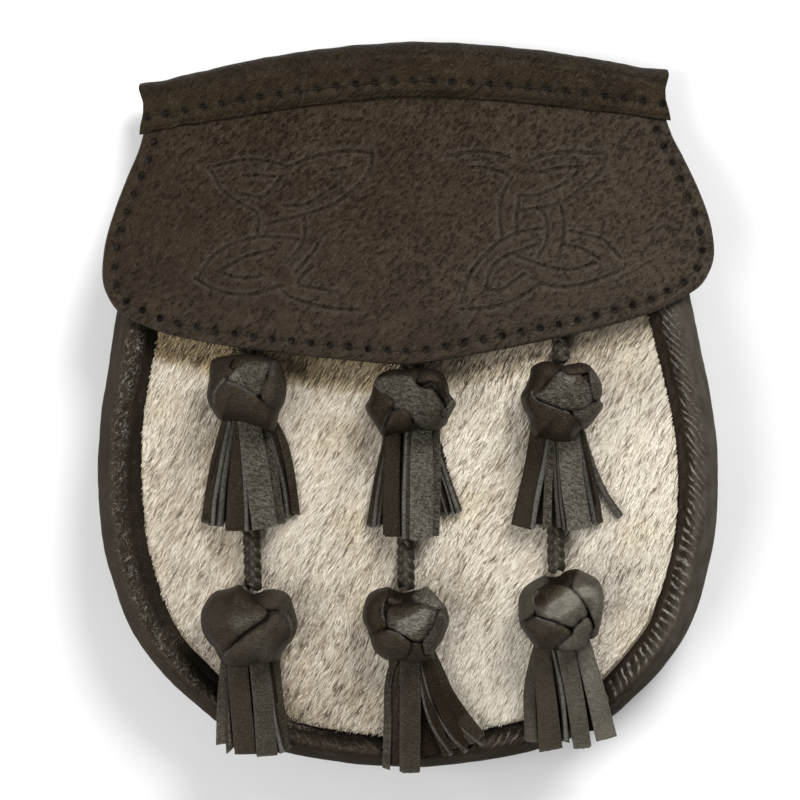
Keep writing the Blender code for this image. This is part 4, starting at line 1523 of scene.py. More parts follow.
# ---------------------------------------------------------------- binding

BINDING_SEAM = 4.7
BINDING_CREASE = 3.9
BINDING_STATIONS = 340
BINDING_SKIVED = 0.95
BINDING_SEAM_END = 0.975
BINDING_CREASE_DEPTH = 0.34
BINDING_CREASE_HALF_WIDTH = 0.75


def binding_line(share):
    """Outer surface of the binding at places across, as in the solids."""
    x = share * TOP_HALF_WIDTH
    top = top_edge(x)
    low = BINDING_LOW_Y - BINDING_LOW_FALL * np.abs(share) ** BINDING_LOW_POWER
    lift = LEATHER + BINDING_GAP + BINDING_LEATHER
    back = BACK_LIFT - BINDING_GAP - BINDING_LEATHER
    front = flap_height(x + TOP_SHIFT, top) + lift
    radius = (front - back) / 2
    rows = []
    for t in np.linspace(0, 1, 22)[:-1]:
        y = mix(low, top - radius, t)
        rows.append((y, flap_height(x + TOP_SHIFT, y) + lift))
    for angle in np.linspace(math.pi / 2, -math.pi / 2, 15):
        y = top - radius + radius * math.cos(angle)
        rows.append((y, back + radius + radius * math.sin(angle)))
    for share_of_leg in (0.6, 1.0):
        rows.append((top - BINDING_BACK_LEG * share_of_leg, np.full_like(top, back)))
    y, z = np.array(rows).transpose(1, 2, 0)
    flare = BINDING_FLARE / (TOP_Y - BINDING_LOW_Y)
    shift = TOP_SHIFT + (share[:, None] * flare) * (top[:, None] - y)
    return np.stack([x[:, None] + shift, y, z], axis=-1), low, top


def used_binding(outer, share, low, top):
    """Shapes the binding as use and its maker left it, and tells where its edge is thinned."""
    x, y, z = outer[..., 0], outer[..., 1], outer[..., 2]
    high = np.clip((y - low[:, None]) / (top - low)[:, None], 0, 1)
    end = ease(0.90, 1.0, np.abs(share))[:, None] * (z > 10.0)
    y += 0.9 * end * high
    bulge = 1.3 * np.exp(-(((high - 0.92) / 0.2) ** 2))
    bulge -= 0.7 * np.exp(-(((high - 0.45) / 0.25) ** 2))
    x += np.sign(share)[:, None] * ease(0.975, 1.0, np.abs(share))[:, None] * bulge
    skived = 1 - ease(0.0, 2.2, y - low[:, None])
    z -= BINDING_SKIVED * skived
    wear_and_painted_light = 0.5 * wander(share * 80, share * 0, 5.0, 51) * ease(-0.55, -0.97, share)
    wear_and_painted_light += 0.14 * wander(share * 80, share * 0, 9.0, 52)
    y[:, 0] += wear_and_painted_light * 0.8
    y[:, 1] += wear_and_painted_light * 0.4
    return skived


def binding(material, thread):
    """The folded strip over the top edges, and the stitches through it."""
    share = np.linspace(-1, 1, BINDING_STATIONS)
    outer, low, top = binding_line(share)
    along = np.stack([np.gradient(outer[..., k], axis=1) for k in range(3)], axis=-1)
    normal = unit(np.cross([1.0, 0.0, 0.0], unit(along)))
    skived = used_binding(outer, share, low, top)
    x, y = outer[..., 0], outer[..., 1]

    seam = np.stack([x[:, 0], low + BINDING_SEAM], axis=1)
    seam = even_points(seam[np.abs(share) < BINDING_SEAM_END], SEAM_POINTS)
    holes = seam_holes(seam)
    flat = outer[..., :2].reshape(-1, 2)
    front = (normal[..., 2] > 0.2).astype(float)
    above_crease = y - (top[:, None] - BINDING_CREASE)
    sunk = seam_sunk(flat, seam, holes).reshape(x.shape) * front
    crease = np.exp(-((above_crease / BINDING_CREASE_HALF_WIDTH) ** 2))
    sunk += BINDING_CREASE_DEPTH * crease * front
    lumps = 0.10 * wander(x, y * 1.5, 7.0, 53) + 0.05 * wander(x, y * 2, 2.8, 54)
    surface = outer + normal * (lumps - sunk)[..., None]
    under = list(range(36, -1, -6))  # every sixth column, from the back leg's end to the front
    thick = BINDING_LEATHER - BINDING_SKIVED * skived[:, under]
    inner = outer[:, under] - normal[:, under] * thick[..., None]

    # Painted shade in the stitch holes and the crease, and over the roll above the crease where it curves
    # away from the light
    dirt = 1.8 * hole_share(flat, holes).reshape(x.shape) * front
    dirt += 0.5 * np.exp(-((above_crease / 0.6) ** 2)) * front
    dirt += 0.38 * ease(0.0, 1.5, above_crease)
    edge = np.zeros(x.shape)
    edge[:, 0] = 0.12
    looks = {"dirt": np.clip(dirt, 0, 1), "edge": edge}
    obj = lined_leather("binding", surface, inner, under, looks)
    dressed(obj, material, ["top_binding"])

    def thread_height(points):
        lift = LEATHER + BINDING_GAP + BINDING_LEATHER
        return flap_height(*points.T) + lift - 0.10

    dive = BINDING_STITCH_DIVE
    stitches("binding_stitches", holes, thread_height, dive, thread)


# ---------------------------------------------------------------- tassels

# The photograph's pixels: their size this far from the camera, and the one that shows this y
MM_A_PIXEL = 0.3
PICTURE_DISTANCE = 873.0
PICTURE_MIDDLE = (406.0, 399.97)
PICTURE_MIDDLE_Y = 1.1
# Heights over the floor at which the heads and the strips are seen
HEAD_HEIGHT = 44.0
STRIP_HEIGHT = 39.0
STRIP_THICKNESS = 1.1
EDGE_STRIP_DEPTH = 4.6
EDGE_STRIP_LEAN = math.radians(74)
FACE_EDGE = 0.55
FACES_ROOM = 1.9
# Distances of the rows of points from a head's edge and from the edge of a wrapped face
HEAD_EDGE_ROWS = (0.18, 0.5, 1.0)
FACE_EDGE_ROWS = (-0.12, 0.12, 0.4, 0.8)
# Painted shade in the crevices between a head's faces
CREVICE_SHADE = 0.55
CREVICE_HALF_WIDTH = 0.45
CUT_POINTS = 80
CUT_BARENESS = 0.85
CUT_HALF_WIDTH = 0.34
STRIP_POINTS = 30
# Width of a skirt at its top, as a share of its width at its ends
SKIRT_GATHERED = 0.55
# How a strip that shows its face leans to the side, twists in degrees, puffs and is cut
FACE_LEAN = 0.35
FACE_TWIST = 5
FACE_CROWN = 0.12
FACE_SKEW = 0.4
BETWEEN_FACES_TONE = 0.20
# Tassels of smoother leather, and how much fainter its folds are
SMOOTH_TASSELS = {"lower_left": 0.25, "lower_right": 0.50}
HEADS = {
    # Each head as it is seen in the photograph, in its pixels: its outline; its wrapped faces
    # from the lowest up (height in millimetres, lightness, puffiness, outline), where the dark
    # faces along the top are painted shade; its bare cut edges; and painted highlights and
    # shade (across, down, reach in millimetres, change of lightness)
    "upper_left": {
        "outline": (
            (209, 366), (208, 379), (206, 392), (207, 402), (212, 411), (219, 420), (232, 421), (242, 422),
            (252, 425), (262, 429), (272, 433), (276, 424), (279, 412), (284, 402), (286, 390), (285, 379),
            (281, 366), (275, 359), (264, 356), (250, 354), (236, 354), (222, 356), (212, 359),
        ),
        "faces": (
            (0.2, 0.13, 0.7, (
                (209, 366), (208, 379), (206, 392), (207, 402), (213, 408), (219, 396), (228, 383),
                (236, 372), (243, 360), (242, 353), (222, 356), (212, 359),
            )),
            (0.3, 0.1, 0.4, (
                (238, 354), (250, 354), (264, 356), (275, 359), (272, 364), (258, 362), (245, 364),
                (236, 370), (230, 366),
            )),
            (0.7, 0.64, 0.5, (
                (229, 381), (233, 372), (242, 364), (254, 361), (268, 362), (270, 367), (268, 376),
                (263, 388), (259, 396), (246, 390),
            )),
            (1, 0.46, 0.7, (
                (270, 365), (275, 360), (281, 366), (285, 379), (286, 390), (284, 402), (279, 412),
                (272, 412), (262, 400), (262, 389), (268, 376),
            )),
            (1.6, 0.29, 1.1, (
                (213, 404), (214, 396), (218, 388), (223, 382), (229, 381), (237, 385), (247, 390),
                (256, 395), (264, 402), (273, 408), (279, 411), (276, 424), (272, 433), (262, 429),
                (252, 425), (242, 422), (232, 421), (219, 420), (212, 410),
            )),
        ),
        "cuts": (
            ((214, 402), (215, 393), (219, 386), (225, 380)),
            ((229, 382), (237, 385), (247, 390), (256, 395)),
        ),
        "painted_light_and_shade": (
            (235, 376, 2.4, 0.28),
        ),
    },
    "upper_middle": {
        "outline": (
            (365, 407), (369, 399), (372, 390), (375, 380), (381, 373), (392, 369), (404, 369), (416, 368),
            (428, 368), (437, 370), (444, 375), (448, 384), (450, 394), (456, 403), (453, 411), (449, 418),
            (446, 425), (439, 429), (430, 431), (420, 430), (410, 432), (400, 433), (390, 434), (384, 438),
            (379, 431), (374, 423), (369, 416),
        ),
        "faces": (
            (0.2, 0.04, 0.4, (
                (376, 380), (381, 373), (392, 369), (404, 369), (416, 368), (428, 368), (437, 370),
                (430, 382), (416, 384), (400, 378), (386, 378),
            )),
            (0.8, 0.7, 0.6, (
                (373, 386), (376, 379), (386, 376), (400, 375), (412, 377), (417, 384), (425, 388),
                (432, 389), (438, 396), (443, 405), (447, 412), (446, 425), (439, 429), (430, 431),
                (420, 427), (408, 416), (396, 411), (388, 402),
            )),
            (1.3, 0.14, 0.9, (
                (373, 387), (381, 391), (388, 396), (394, 402), (393, 409), (388, 416), (384, 424),
                (382, 432), (379, 431), (374, 423), (369, 416), (365, 407), (369, 399),
            )),
            (1.5, 0.26, 0.7, (
                (394, 410), (401, 409), (409, 412), (412, 419), (409, 427), (402, 432), (393, 433),
                (387, 430), (387, 422), (390, 415),
            )),
            (1.7, 0.12, 0.8, (
                (417, 382), (424, 384), (432, 383), (438, 389), (444, 399), (446, 406), (450, 402),
                (450, 394), (448, 384), (444, 375), (437, 370), (428, 369), (419, 373),
            )),
            (1.2, 0.74, 0.5, (
                (441, 411), (447, 406), (452, 398), (456, 403), (453, 411), (449, 417), (442, 417),
            )),
        ),
        "cuts": (
            ((425, 385.5), (432, 384), (437, 390), (443, 399), (444, 405)),
            ((392, 411), (387, 417), (384, 424), (382, 431)),
            ((374, 385), (383, 392)),
            ((447, 407), (452, 401), (455, 403)),
        ),
        "painted_light_and_shade": (
            (438, 420, 3, -0.2), (395, 384, 3, -0.15), (434, 405, 4, -0.1),
        ),
    },
    "upper_right": {
        "outline": (
            (521, 397), (526, 386), (530, 376), (532, 367), (541, 362), (551, 361), (558, 365), (566, 365),
            (576, 363), (586, 363), (593, 368), (598, 375), (602, 383), (603, 393), (601, 400), (604, 405),
            (601, 412), (595, 420), (588, 428), (579, 432), (572, 441), (558, 442), (546, 439), (535, 437),
            (531, 427), (529, 418), (524, 408),
        ),
        "faces": (
            (0.3, 0.13, 0.6, (
                (521, 397), (526, 386), (530, 376), (532, 367), (541, 362), (551, 361), (558, 365),
                (560, 370), (553, 378), (546, 387), (538, 395), (529, 397),
            )),
            (0.8, 0.72, 0.7, (
                (533, 396), (541, 391), (547, 385), (553, 377), (560, 371), (572, 371), (583, 377),
                (591, 388), (593, 398), (588, 406), (578, 410), (567, 411), (555, 407), (543, 402),
            )),
            (0.9, 0.2, 0.5, (
                (560, 369), (567, 365), (576, 363), (586, 363), (592, 367), (589, 373), (578, 375),
                (568, 375),
            )),
            (1, 0.62, 0.6, (
                (588, 374), (593, 368), (598, 375), (602, 383), (603, 393), (600, 399), (593, 399),
                (590, 390),
            )),
            (1.3, 0.6, 0.7, (
                (599, 401), (604, 405), (601, 412), (595, 420), (588, 428), (580, 430), (573, 420),
                (572, 411), (582, 409), (590, 404),
            )),
            (1.8, 0.16, 1.1, (
                (523, 405), (523, 398), (528, 393), (532, 395), (538, 401), (548, 405), (558, 409),
                (568, 412), (574, 417), (580, 427), (572, 441), (558, 442), (546, 439), (535, 437),
                (531, 427), (529, 418),
            )),
        ),
        "cuts": (
            ((531, 393), (534, 398), (541, 402), (550, 406), (560, 409.5), (568, 412.5)),
            ((593, 399), (601, 401)),
        ),
        "painted_light_and_shade": (
            (580, 381, 1.6, -0.5), (572, 378, 2.2, 0.25), (566, 410, 2, -0.1), (560, 432, 4, 0.15),
        ),
    },
    "lower_left": {
        "outline": (
            (199, 622), (200, 612), (204, 604), (209, 597), (216, 592), (227, 590), (238, 586), (243, 591),
            (251, 595), (258, 594), (266, 591), (276, 591), (285, 594), (290, 600), (293, 610), (296, 620),
            (296, 631), (292, 641), (286, 648), (281, 655), (278, 662), (268, 664), (257, 663), (248, 668),
            (236, 669), (226, 667), (219, 662), (213, 650), (206, 642), (201, 633),
        ),
        "faces": (
            (0.5, 0.42, 0.8, (
                (252, 598), (258, 594), (266, 591), (276, 591), (285, 594), (290, 600), (293, 610),
                (296, 620), (296, 631), (290, 632), (286, 620), (278, 611), (268, 610), (258, 606),
            )),
            (1, 0.34, 1.1, (
                (199, 622), (200, 612), (204, 604), (209, 597), (216, 592), (227, 590), (238, 586),
                (246, 592), (253, 598), (262, 605), (268, 612), (266, 618), (258, 624), (249, 630),
                (240, 637), (231, 647), (222, 657), (213, 650), (206, 642), (201, 633),
            )),
            (1.5, 0.47, 0.9, (
                (221, 660), (230, 649), (239, 640), (249, 632), (258, 626), (267, 620), (272, 614),
                (280, 613), (287, 619), (291, 629), (292, 640), (286, 648), (281, 655), (278, 662),
                (268, 664), (257, 663), (248, 668), (236, 669), (226, 667), (219, 663),
            )),
        ),
        "cuts": (
            ((270, 613), (278, 611.5), (285, 615), (290, 622), (292, 630)),
            ((236, 643), (228, 651), (222, 658)),
        ),
        "painted_light_and_shade": (
            (243, 624, 2.6, 0.3), (235, 619, 2.4, 0.22), (258, 616, 2.2, 0.34), (250, 620, 1.8, 0.2),
            (228, 603, 4, -0.16), (255, 603, 2.5, -0.25), (222, 595, 2.5, 0.12), (232, 664, 4, -0.2),
            (285, 640, 3, -0.15), (205, 630, 3, -0.05), (262, 645, 3, 0.06),
        ),
    },
    "lower_middle": {
        "outline": (
            (362, 616), (364, 605), (368, 596), (375, 591), (382, 589), (388, 588), (394, 591), (402, 594),
            (412, 592), (420, 590), (427, 588), (433, 593), (440, 601), (446, 608), (449, 617), (449, 625),
            (446, 633), (443, 641), (438, 648), (434, 655), (434, 661), (424, 663), (412, 664), (402, 662),
            (394, 663), (385, 661), (378, 656), (373, 650), (370, 641), (366, 629), (363, 623),
        ),
        "faces": (
            (0.3, 0.1, 0.4, (
                (386, 592), (394, 591), (402, 594), (412, 592), (420, 596), (420, 604), (405, 606),
                (392, 606), (384, 600),
            )),
            (0.7, 0.8, 0.5, (
                (411, 597), (418, 591), (427, 588), (433, 593), (440, 601), (446, 608), (438, 610),
                (428, 606), (418, 603),
            )),
            (1.2, 0.64, 1, (
                (388, 608), (396, 604), (407, 602), (419, 604), (430, 607), (438, 611), (436, 619),
                (432, 627), (427, 634), (422, 640), (414, 641), (405, 636), (396, 631), (388, 627),
                (386, 617),
            )),
            (1.1, 0.52, 0.7, (
                (437, 612), (446, 609), (449, 617), (449, 625), (446, 633), (443, 641), (438, 648),
                (434, 655), (426, 656), (421, 648), (423, 640), (429, 632), (434, 623),
            )),
            (0.6, 0.22, 0.5, (
                (410, 642), (417, 641), (422, 644), (425, 654), (434, 656), (434, 661), (424, 663),
                (412, 664), (402, 662), (404, 656),
            )),
            (1.4, 0.19, 0.9, (
                (362, 616), (364, 605), (368, 596), (375, 591), (382, 589), (389, 591), (388, 599),
                (384, 606), (384, 615), (387, 626), (380, 632), (371, 634), (366, 629),
            )),
            (2, 0.34, 1, (
                (369, 637), (377, 632), (387, 629), (397, 632), (405, 637), (411, 642), (410, 651),
                (404, 659), (394, 662), (384, 660), (378, 656), (373, 650),
            )),
        ),
        "cuts": (
            ((388, 629), (397, 632), (404, 636.5)),
            ((384, 603), (382.5, 611), (384.5, 620)),
            ((440, 613), (445, 619), (447, 626)),
        ),
        "painted_light_and_shade": (
            (404, 625, 2.8, 0.55), (412, 622, 2.8, 0.45), (424, 614, 2.4, 0.4), (418, 618, 2, 0.3),
            (398, 609, 3, -0.6), (412, 606, 2.5, -0.45), (436, 604, 1.6, 0.2), (424, 650, 2, 0.1),
            (430, 626, 2, -0.1),
        ),
    },
    "lower_right": {
        "outline": (
            (520, 624), (519, 612), (519, 602), (522, 593), (528, 586), (536, 581), (544, 577), (552, 578),
            (560, 577), (567, 572), (578, 570), (585, 573), (593, 577), (599, 581), (603, 588), (605, 596),
            (604, 608), (603, 619), (601, 628), (599, 636), (594, 640), (589, 642), (585, 649), (574, 652),
            (562, 652), (550, 651), (538, 650), (533, 645), (528, 638), (523, 631),
        ),
        "faces": (
            (0.3, 0.1, 0.4, (
                (540, 582), (548, 578), (560, 577), (568, 574), (572, 582), (570, 590), (556, 588),
                (544, 590),
            )),
            (0.6, 0.58, 0.8, (
                (520, 624), (519, 612), (519, 602), (522, 593), (528, 586), (536, 581), (545, 577),
                (549, 582), (542, 588), (536, 592), (534, 600), (536, 609), (533, 616), (526, 620),
            )),
            (1.3, 0.66, 1.1, (
                (536, 592), (543, 588), (553, 585), (563, 585), (571, 588), (577, 593), (583, 601),
                (587, 610), (586, 616), (579, 621), (573, 627), (563, 625), (554, 621), (544, 618),
                (536, 614), (534, 603),
            )),
            (1.2, 0.7, 0.8, (
                (573, 628), (580, 621), (587, 617), (592, 623), (593, 631), (590, 640), (585, 649),
                (574, 652), (562, 652), (558, 646), (565, 638), (571, 634),
            )),
            (1.9, 0.36, 1, (
                (521, 625), (527, 620), (535, 616), (545, 619), (555, 622), (565, 626), (571, 632),
                (566, 638), (559, 645), (550, 651), (538, 650), (533, 645), (528, 638), (523, 631),
            )),
            (2.1, 0.6, 0.8, (
                (571, 584), (574, 576), (580, 571), (588, 574), (596, 579), (602, 586), (605, 596),
                (604, 608), (603, 619), (601, 628), (599, 636), (594, 640), (591, 634), (594, 627),
                (592, 619), (588, 610), (583, 601), (577, 593), (572, 589),
            )),
        ),
        "cuts": (
            ((536, 617), (545, 619.5), (555, 622.5)),
            ((537, 591), (533, 599), (535, 608)),
            ((574, 590), (580, 596)),
        ),
        "painted_light_and_shade": (
            (551, 609, 2.6, 0.5), (559, 605, 2.8, 0.5), (568, 600, 2.8, 0.4), (575, 594, 2.4, 0.3),
            (540, 600, 2.6, -0.6), (552, 591, 3, -0.5), (588, 582, 3, -0.15), (584, 590, 1.6, 0.5),
            (592, 592, 2, 0.35), (596, 603, 2, 0.25), (590, 616, 2, 0.2), (538, 642, 3, -0.12),
            (570, 647, 3, 0.12),
        ),
    },
}
STRIPS = {
    # Strips of each skirt, from the back to the front: whether it shows its face or its edge;
    # its middle line and its widths along that line, in the photograph's pixels; its height
    # over the skirt's arch in millimetres; its lightness, painted shade on the darkest strips at
    # the back; and how bare its cut edges are
    "upper_left": (
        ("face", ((232, 416), (220, 470), (214, 521)), (10, 16, 22), -2.2, 0.02, 0),
        ("face", ((262, 418), (279, 468), (289, 513)), (12, 16, 18), -2.2, 0.03, 0),
        ("face", ((248, 416), (249, 475), (250, 525)), (20, 30, 36), -2.8, 0.02, 0),
        ("face", ((226, 414), (213.5, 465), (204.5, 524)), (6, 8, 9), -0.9, 0.12, 0.3),
        ("edge", ((229, 414), (222, 445), (216.5, 475), (211.5, 503), (209.8, 527)),
         (4.3, 5, 5, 4.8, 4.3), -0.4, 0.3, 1.23),
        ("edge", ((233, 416), (225, 460), (221, 485), (217.5, 527)),
         (4.8, 5.5, 6, 6.5), -0.5, 0.3, 0.69),
        ("face", ((240, 416), (236, 475), (236, 530)), (8, 14, 21), 0.1, 0.22, 0),
        ("face", ((268, 414), (281, 441), (289, 475), (294, 515)), (6, 9, 9, 9), -0.5, 0.28, 0.2),
        ("edge", ((264, 416), (271, 436), (278, 460), (285, 488), (289, 518)),
         (3.8, 4.8, 4.8, 4.3, 4.1), -0.1, 0.3, 0.95),
        ("face", ((262, 418), (271, 465), (280, 524)), (8, 10, 10), 0.1, 0.62, 0.2),
        ("edge", ((242, 430), (247, 490), (248.5, 531)), (2.6, 3.6, 4.6), 0.3, 0.3, 0.84),
        ("face", ((248, 414), (256, 468), (265, 528)), (22, 25, 25), 0.7, 0.79, 0.4),
    ),
    "upper_middle": (
        ("face", ((398, 420), (386, 475), (381, 524)), (10, 18, 22), -2.2, 0.02, 0),
        ("face", ((428, 422), (440, 466), (449, 512)), (12, 16, 20), -2, 0.04, 0),
        ("face", ((412, 420), (411, 480), (411, 532)), (24, 34, 40), -2.8, 0.02, 0),
        ("face", ((390, 424), (379, 475), (371, 527)), (4, 7, 9), -0.8, 0.14, 0.3),
        ("edge", ((389, 422), (384, 447), (379.5, 472), (375, 499), (371.5, 528)),
         (2.9, 3.1, 3.6, 4.1, 4.3), -0.2, 0.3, 1.01),
        ("edge", ((387, 450), (380, 500), (376.5, 527)), (1.7, 2.4, 3.1), -0.4, 0.3, 0.78),
        ("edge", ((432, 426), (441, 456), (450, 483), (460.5, 513)),
         (2.4, 3.4, 3.8, 4.3), -0.3, 0.3, 1.01),
        ("edge", ((430, 430), (441, 468), (449, 492), (455, 515)),
         (1.7, 2.2, 2.4, 2.9), -0.2, 0.3, 0.9),
        ("edge", ((430, 440), (438, 478), (444, 500), (449, 516)),
         (1.4, 1.9, 2.4, 2.6), -0.1, 0.3, 0.84),
        ("face", ((434, 422), (436, 480), (434.5, 536)), (10, 9, 8), 0.3, 0.76, 0.15),
        ("face", ((394, 424), (391.5, 480), (392, 536)), (16, 17, 17.5), 0.4, 0.2, 0),
        ("edge", ((405, 424), (403, 470), (402, 500), (402, 538)),
         (3, 3.8, 4.4, 4.2), 0.5, 0.3, 1),
        ("face", ((408, 424), (407, 480), (407, 538)), (5, 5, 6), 0.3, 0.45, 0.1),
        ("face", ((420, 416), (421, 480), (420.5, 539)), (22, 24, 24), 0.8, 0.84, 0.4),
    ),
    "upper_right": (
        ("face", ((550, 428), (542, 480), (537, 524)), (14, 22, 28), -2.6, 0.02, 0),
        ("face", ((573, 428), (583, 480), (591, 522)), (14, 18, 20), -2.4, 0.03, 0),
        ("face", ((561, 426), (563, 480), (566, 525)), (20, 28, 34), -2.8, 0.02, 0),
        ("edge", ((582, 424), (590, 452), (601, 482), (612, 503), (623, 519)),
         (3.6, 4.3, 4.6, 4.8, 6), -0.8, 0.5, 0.9),
        ("face", ((578, 424), (587, 456), (595, 490), (600, 524)), (6, 7, 7, 8), -0.5, 0.35, 0.2),
        ("edge", ((578, 426), (585, 460), (591, 492), (597.5, 525)),
         (3.6, 4.3, 5, 4.8), -0.1, 0.3, 1.29),
        ("face", ((541, 424), (534, 470), (522, 527)), (18, 19, 21), 0.2, 0.22, 0),
        ("edge", ((548, 430), (543.5, 458), (538.8, 480), (534.3, 503), (530.5, 528)),
         (4.3, 5.3, 5.5, 5.5, 4.8), 0.3, 0.3, 1.46),
        ("face", ((552.5, 430), (549, 475), (547, 528)), (6, 8, 9), 0, 0.68, 0.3),
        ("edge", ((556, 432), (557.5, 485), (561, 528)), (3.1, 3.6, 4.3), 0, 0.3, 0.31),
        ("edge", ((558.5, 432), (561.5, 490), (566, 529)), (2.2, 2.6, 3.4), 0.2, 0.3, 0.38),
        ("face", ((568, 424), (571.5, 478), (579.5, 529)), (22, 23, 25), 0.7, 0.84, 0.4),
    ),
    "lower_left": (
        ("face", ((234, 650), (230, 700), (232, 746)), (16, 20, 24), -2.2, 0.03, 0),
        ("face", ((258, 650), (264, 700), (270, 752)), (20, 24, 30), -2.2, 0.03, 0),
        ("face", ((224, 650), (220.5, 700), (219.5, 747)), (7, 9, 10), -0.3, 0.64, 0.4),
        ("face", ((226, 655), (226.5, 705), (229, 754)), (4, 5, 8), -0.2, 0.4, 0.4),
        ("edge", ((226, 670), (225.5, 710), (226.5, 748)), (1.7, 2.4, 2.9), 0, 0.3, 0.84),
        ("face", ((272, 650), (276.5, 700), (282, 755)), (8, 10, 13), -0.4, 0.42, 0.2),
        ("edge", ((273, 672), (279.5, 715), (288, 752)), (1.8, 2.8, 4), -0.1, 0.3, 1),
        ("face", ((236, 650), (239.5, 702), (244.5, 756)), (21, 21, 22), 0.5, 0.4, 0.15),
        ("face", ((257, 650), (261.5, 702), (265.5, 757.5)), (20, 20, 21), 0.6, 0.56, 0.25),
        ("edge", ((266, 656), (271.5, 690), (275.5, 722), (283, 755)),
         (2.8, 3.4, 4, 5), 0.75, 0.3, 1.3),
    ),
    "lower_middle": (
        ("face", ((397, 650), (397, 710), (397, 767)), (16, 16, 16), -2.2, 0.03, 0),
        ("face", ((420, 650), (430, 705), (437, 757)), (16, 24, 34), -2.4, 0.06, 0),
        ("face", ((426, 650), (445, 705), (464, 750)), (14, 24, 32), -2.2, 0.1, 0),
        ("face", ((399, 655), (389.5, 682), (388, 730), (386.5, 772)),
         (6.5, 8, 8.5, 7.5), 0.1, 0.56, 0.35),
        ("face", ((425, 650), (441, 688), (458, 718), (478, 744)), (14, 16, 19, 19), -0.6, 0.26, 0.3),
        ("edge", ((422, 656), (436, 686), (449, 716), (464, 733), (486, 750)),
         (2.4, 2.9, 3.1, 3.6, 4.3), -0.1, 0.3, 0.74),
        ("face", ((424, 652), (437, 697), (451, 727), (466, 750)), (8, 11, 12, 12), -0.3, 0.16, 0.1),
        ("edge", ((421, 656), (430, 694), (439, 716), (452, 736), (468, 757)),
         (2.4, 2.9, 3.1, 3.6, 4.6), 0.1, 0.3, 0.78),
        ("face", ((421, 655), (428, 700), (437, 730), (448, 757)), (6, 8, 10, 11), -0.1, 0.14, 0.1),
        ("edge", ((420, 660), (425, 698), (431, 720), (441, 739), (453, 757)),
         (2.2, 2.6, 2.9, 3.4, 4.1), 0.2, 0.3, 0.72),
        ("face", ((410, 650), (410.5, 700), (410, 775)), (20, 21, 20.5), 0.7, 0.42, 0.3),
    ),
    "lower_right": (
        ("face", ((546, 640), (550, 700), (556, 740)), (16, 22, 26), -2.4, 0.02, 0),
        ("face", ((572, 640), (580, 700), (588, 734)), (18, 20, 20), -2.4, 0.02, 0),
        ("face", ((543, 636), (532.5, 690), (533.5, 745)), (8, 13, 14), -0.8, 0.52, 0.35),
        ("face", ((580, 638), (595, 690), (608, 741.5)), (18, 20, 21.5), 0.3, 0.83, 0.1),
        ("face", ((564, 640), (575.5, 697), (584, 750.5)), (18, 18, 18), 0.5, 0.67, 0.25),
        ("face", ((556, 660), (564, 710), (567.5, 744)), (4, 5, 6), -0.6, 0.1, 0.1),
        ("edge", ((549.5, 642), (557.5, 676), (562.5, 706), (565.5, 743)),
         (3.1, 3.8, 4.3, 4.6), 0.3, 0.3, 1.34),
        ("face", ((543, 638), (547.5, 697), (552.5, 752.5)), (17, 20, 23.5), 0.6, 0.42, 0.2),
    ),
}


def seen(points, middle, height):
    """Places read in the photograph at a height, in millimetres from a head's middle."""
    scale = MM_A_PIXEL * (CAMERA_PLACE[2] / MM - height) / PICTURE_DISTANCE
    right, down = (np.array(points, float) - PICTURE_MIDDLE).T
    x = right * math.cos(CAMERA_TURN) + down * math.sin(CAMERA_TURN)
    y = right * math.sin(CAMERA_TURN) - down * math.cos(CAMERA_TURN)
    return np.column_stack([x * scale, y * scale + PICTURE_MIDDLE_Y]) - middle


def smooth_loop(points, spacing):
    """Even points round a closed smooth curve through these points, anticlockwise."""
    points = np.array(points, float)
    if turning(points) < 0:
        points = points[::-1]
    line = smooth_line(np.vstack([points[-3:], points, points[:4]]), 8)[24:-24]
    line = line[: 8 * len(points) + 1]
    return even_points(line, max(int(lengths_along(line)[-1] / spacing), 12) + 1)[:-1]


def puffed(distance, reach, power):
    """Share of full height at a distance inside the edge of a puffed form."""
    t = np.clip(distance / reach, 0.0, 1.0)
    return (1 - (1 - t) ** power) ** (1 / power)


def head_points(outline, faces):
    """Places inside a head's outline, close together along the edges of its faces."""
    rows = [offset_line(outline, d) for d in HEAD_EDGE_ROWS]
    for loop in faces:
        rows += [offset_line(loop, d) for d in FACE_EDGE_ROWS]
    plain = dict(plain_spacing=0.62, plain_clear=0.5, plain_apart=0.3)
    return detailed_points(outline, rows, apart=0.17, clear=0.14, **plain)


def relief(flat, shape, middle, loops):
    """Height, lightness, painted shade and cut edges of a head's wrapped faces at places on it."""
    height = np.zeros(len(flat))
    tone = np.full(len(flat), BETWEEN_FACES_TONE)
    dirt = np.zeros(len(flat))
    for (level, lightness, puff, _), loop in zip(shape["faces"], loops):
        inside = within(loop, flat)
        away = distance_to(flat, loop)
        rounded = FACE_EDGE * (1 - np.exp(-away / 0.4))
        rounded = rounded + puff * puffed(away, reach=4.5, power=1.8)
        height = np.where(inside, level + rounded, height)
        tone = np.where(inside, lightness, tone)
        dirt = np.where(inside, 0.0, dirt)
        # Painted shade in the crevices along each face's edge
        crevice = CREVICE_SHADE * np.exp(-((away / CREVICE_HALF_WIDTH) ** 2))
        dirt = np.maximum(dirt, crevice)
    # Painted highlights and shade
    for across, down, reach, change in shape["painted_light_and_shade"]:
        spot = seen([(across, down)], middle, HEAD_HEIGHT)
        tone = tone + change * np.exp(-((distance_to(flat, spot) / reach) ** 2))
    edge = np.zeros(len(flat))
    for cut in shape["cuts"]:
        line = even_points(smooth_line(seen(cut, middle, HEAD_HEIGHT)), CUT_POINTS)
        bare = CUT_BARENESS * np.exp(-((distance_to(flat, line) / CUT_HALF_WIDTH) ** 4))
        edge = np.maximum(edge, bare)
    return height, np.clip(tone, 0, 1), dirt * (1 - edge), edge


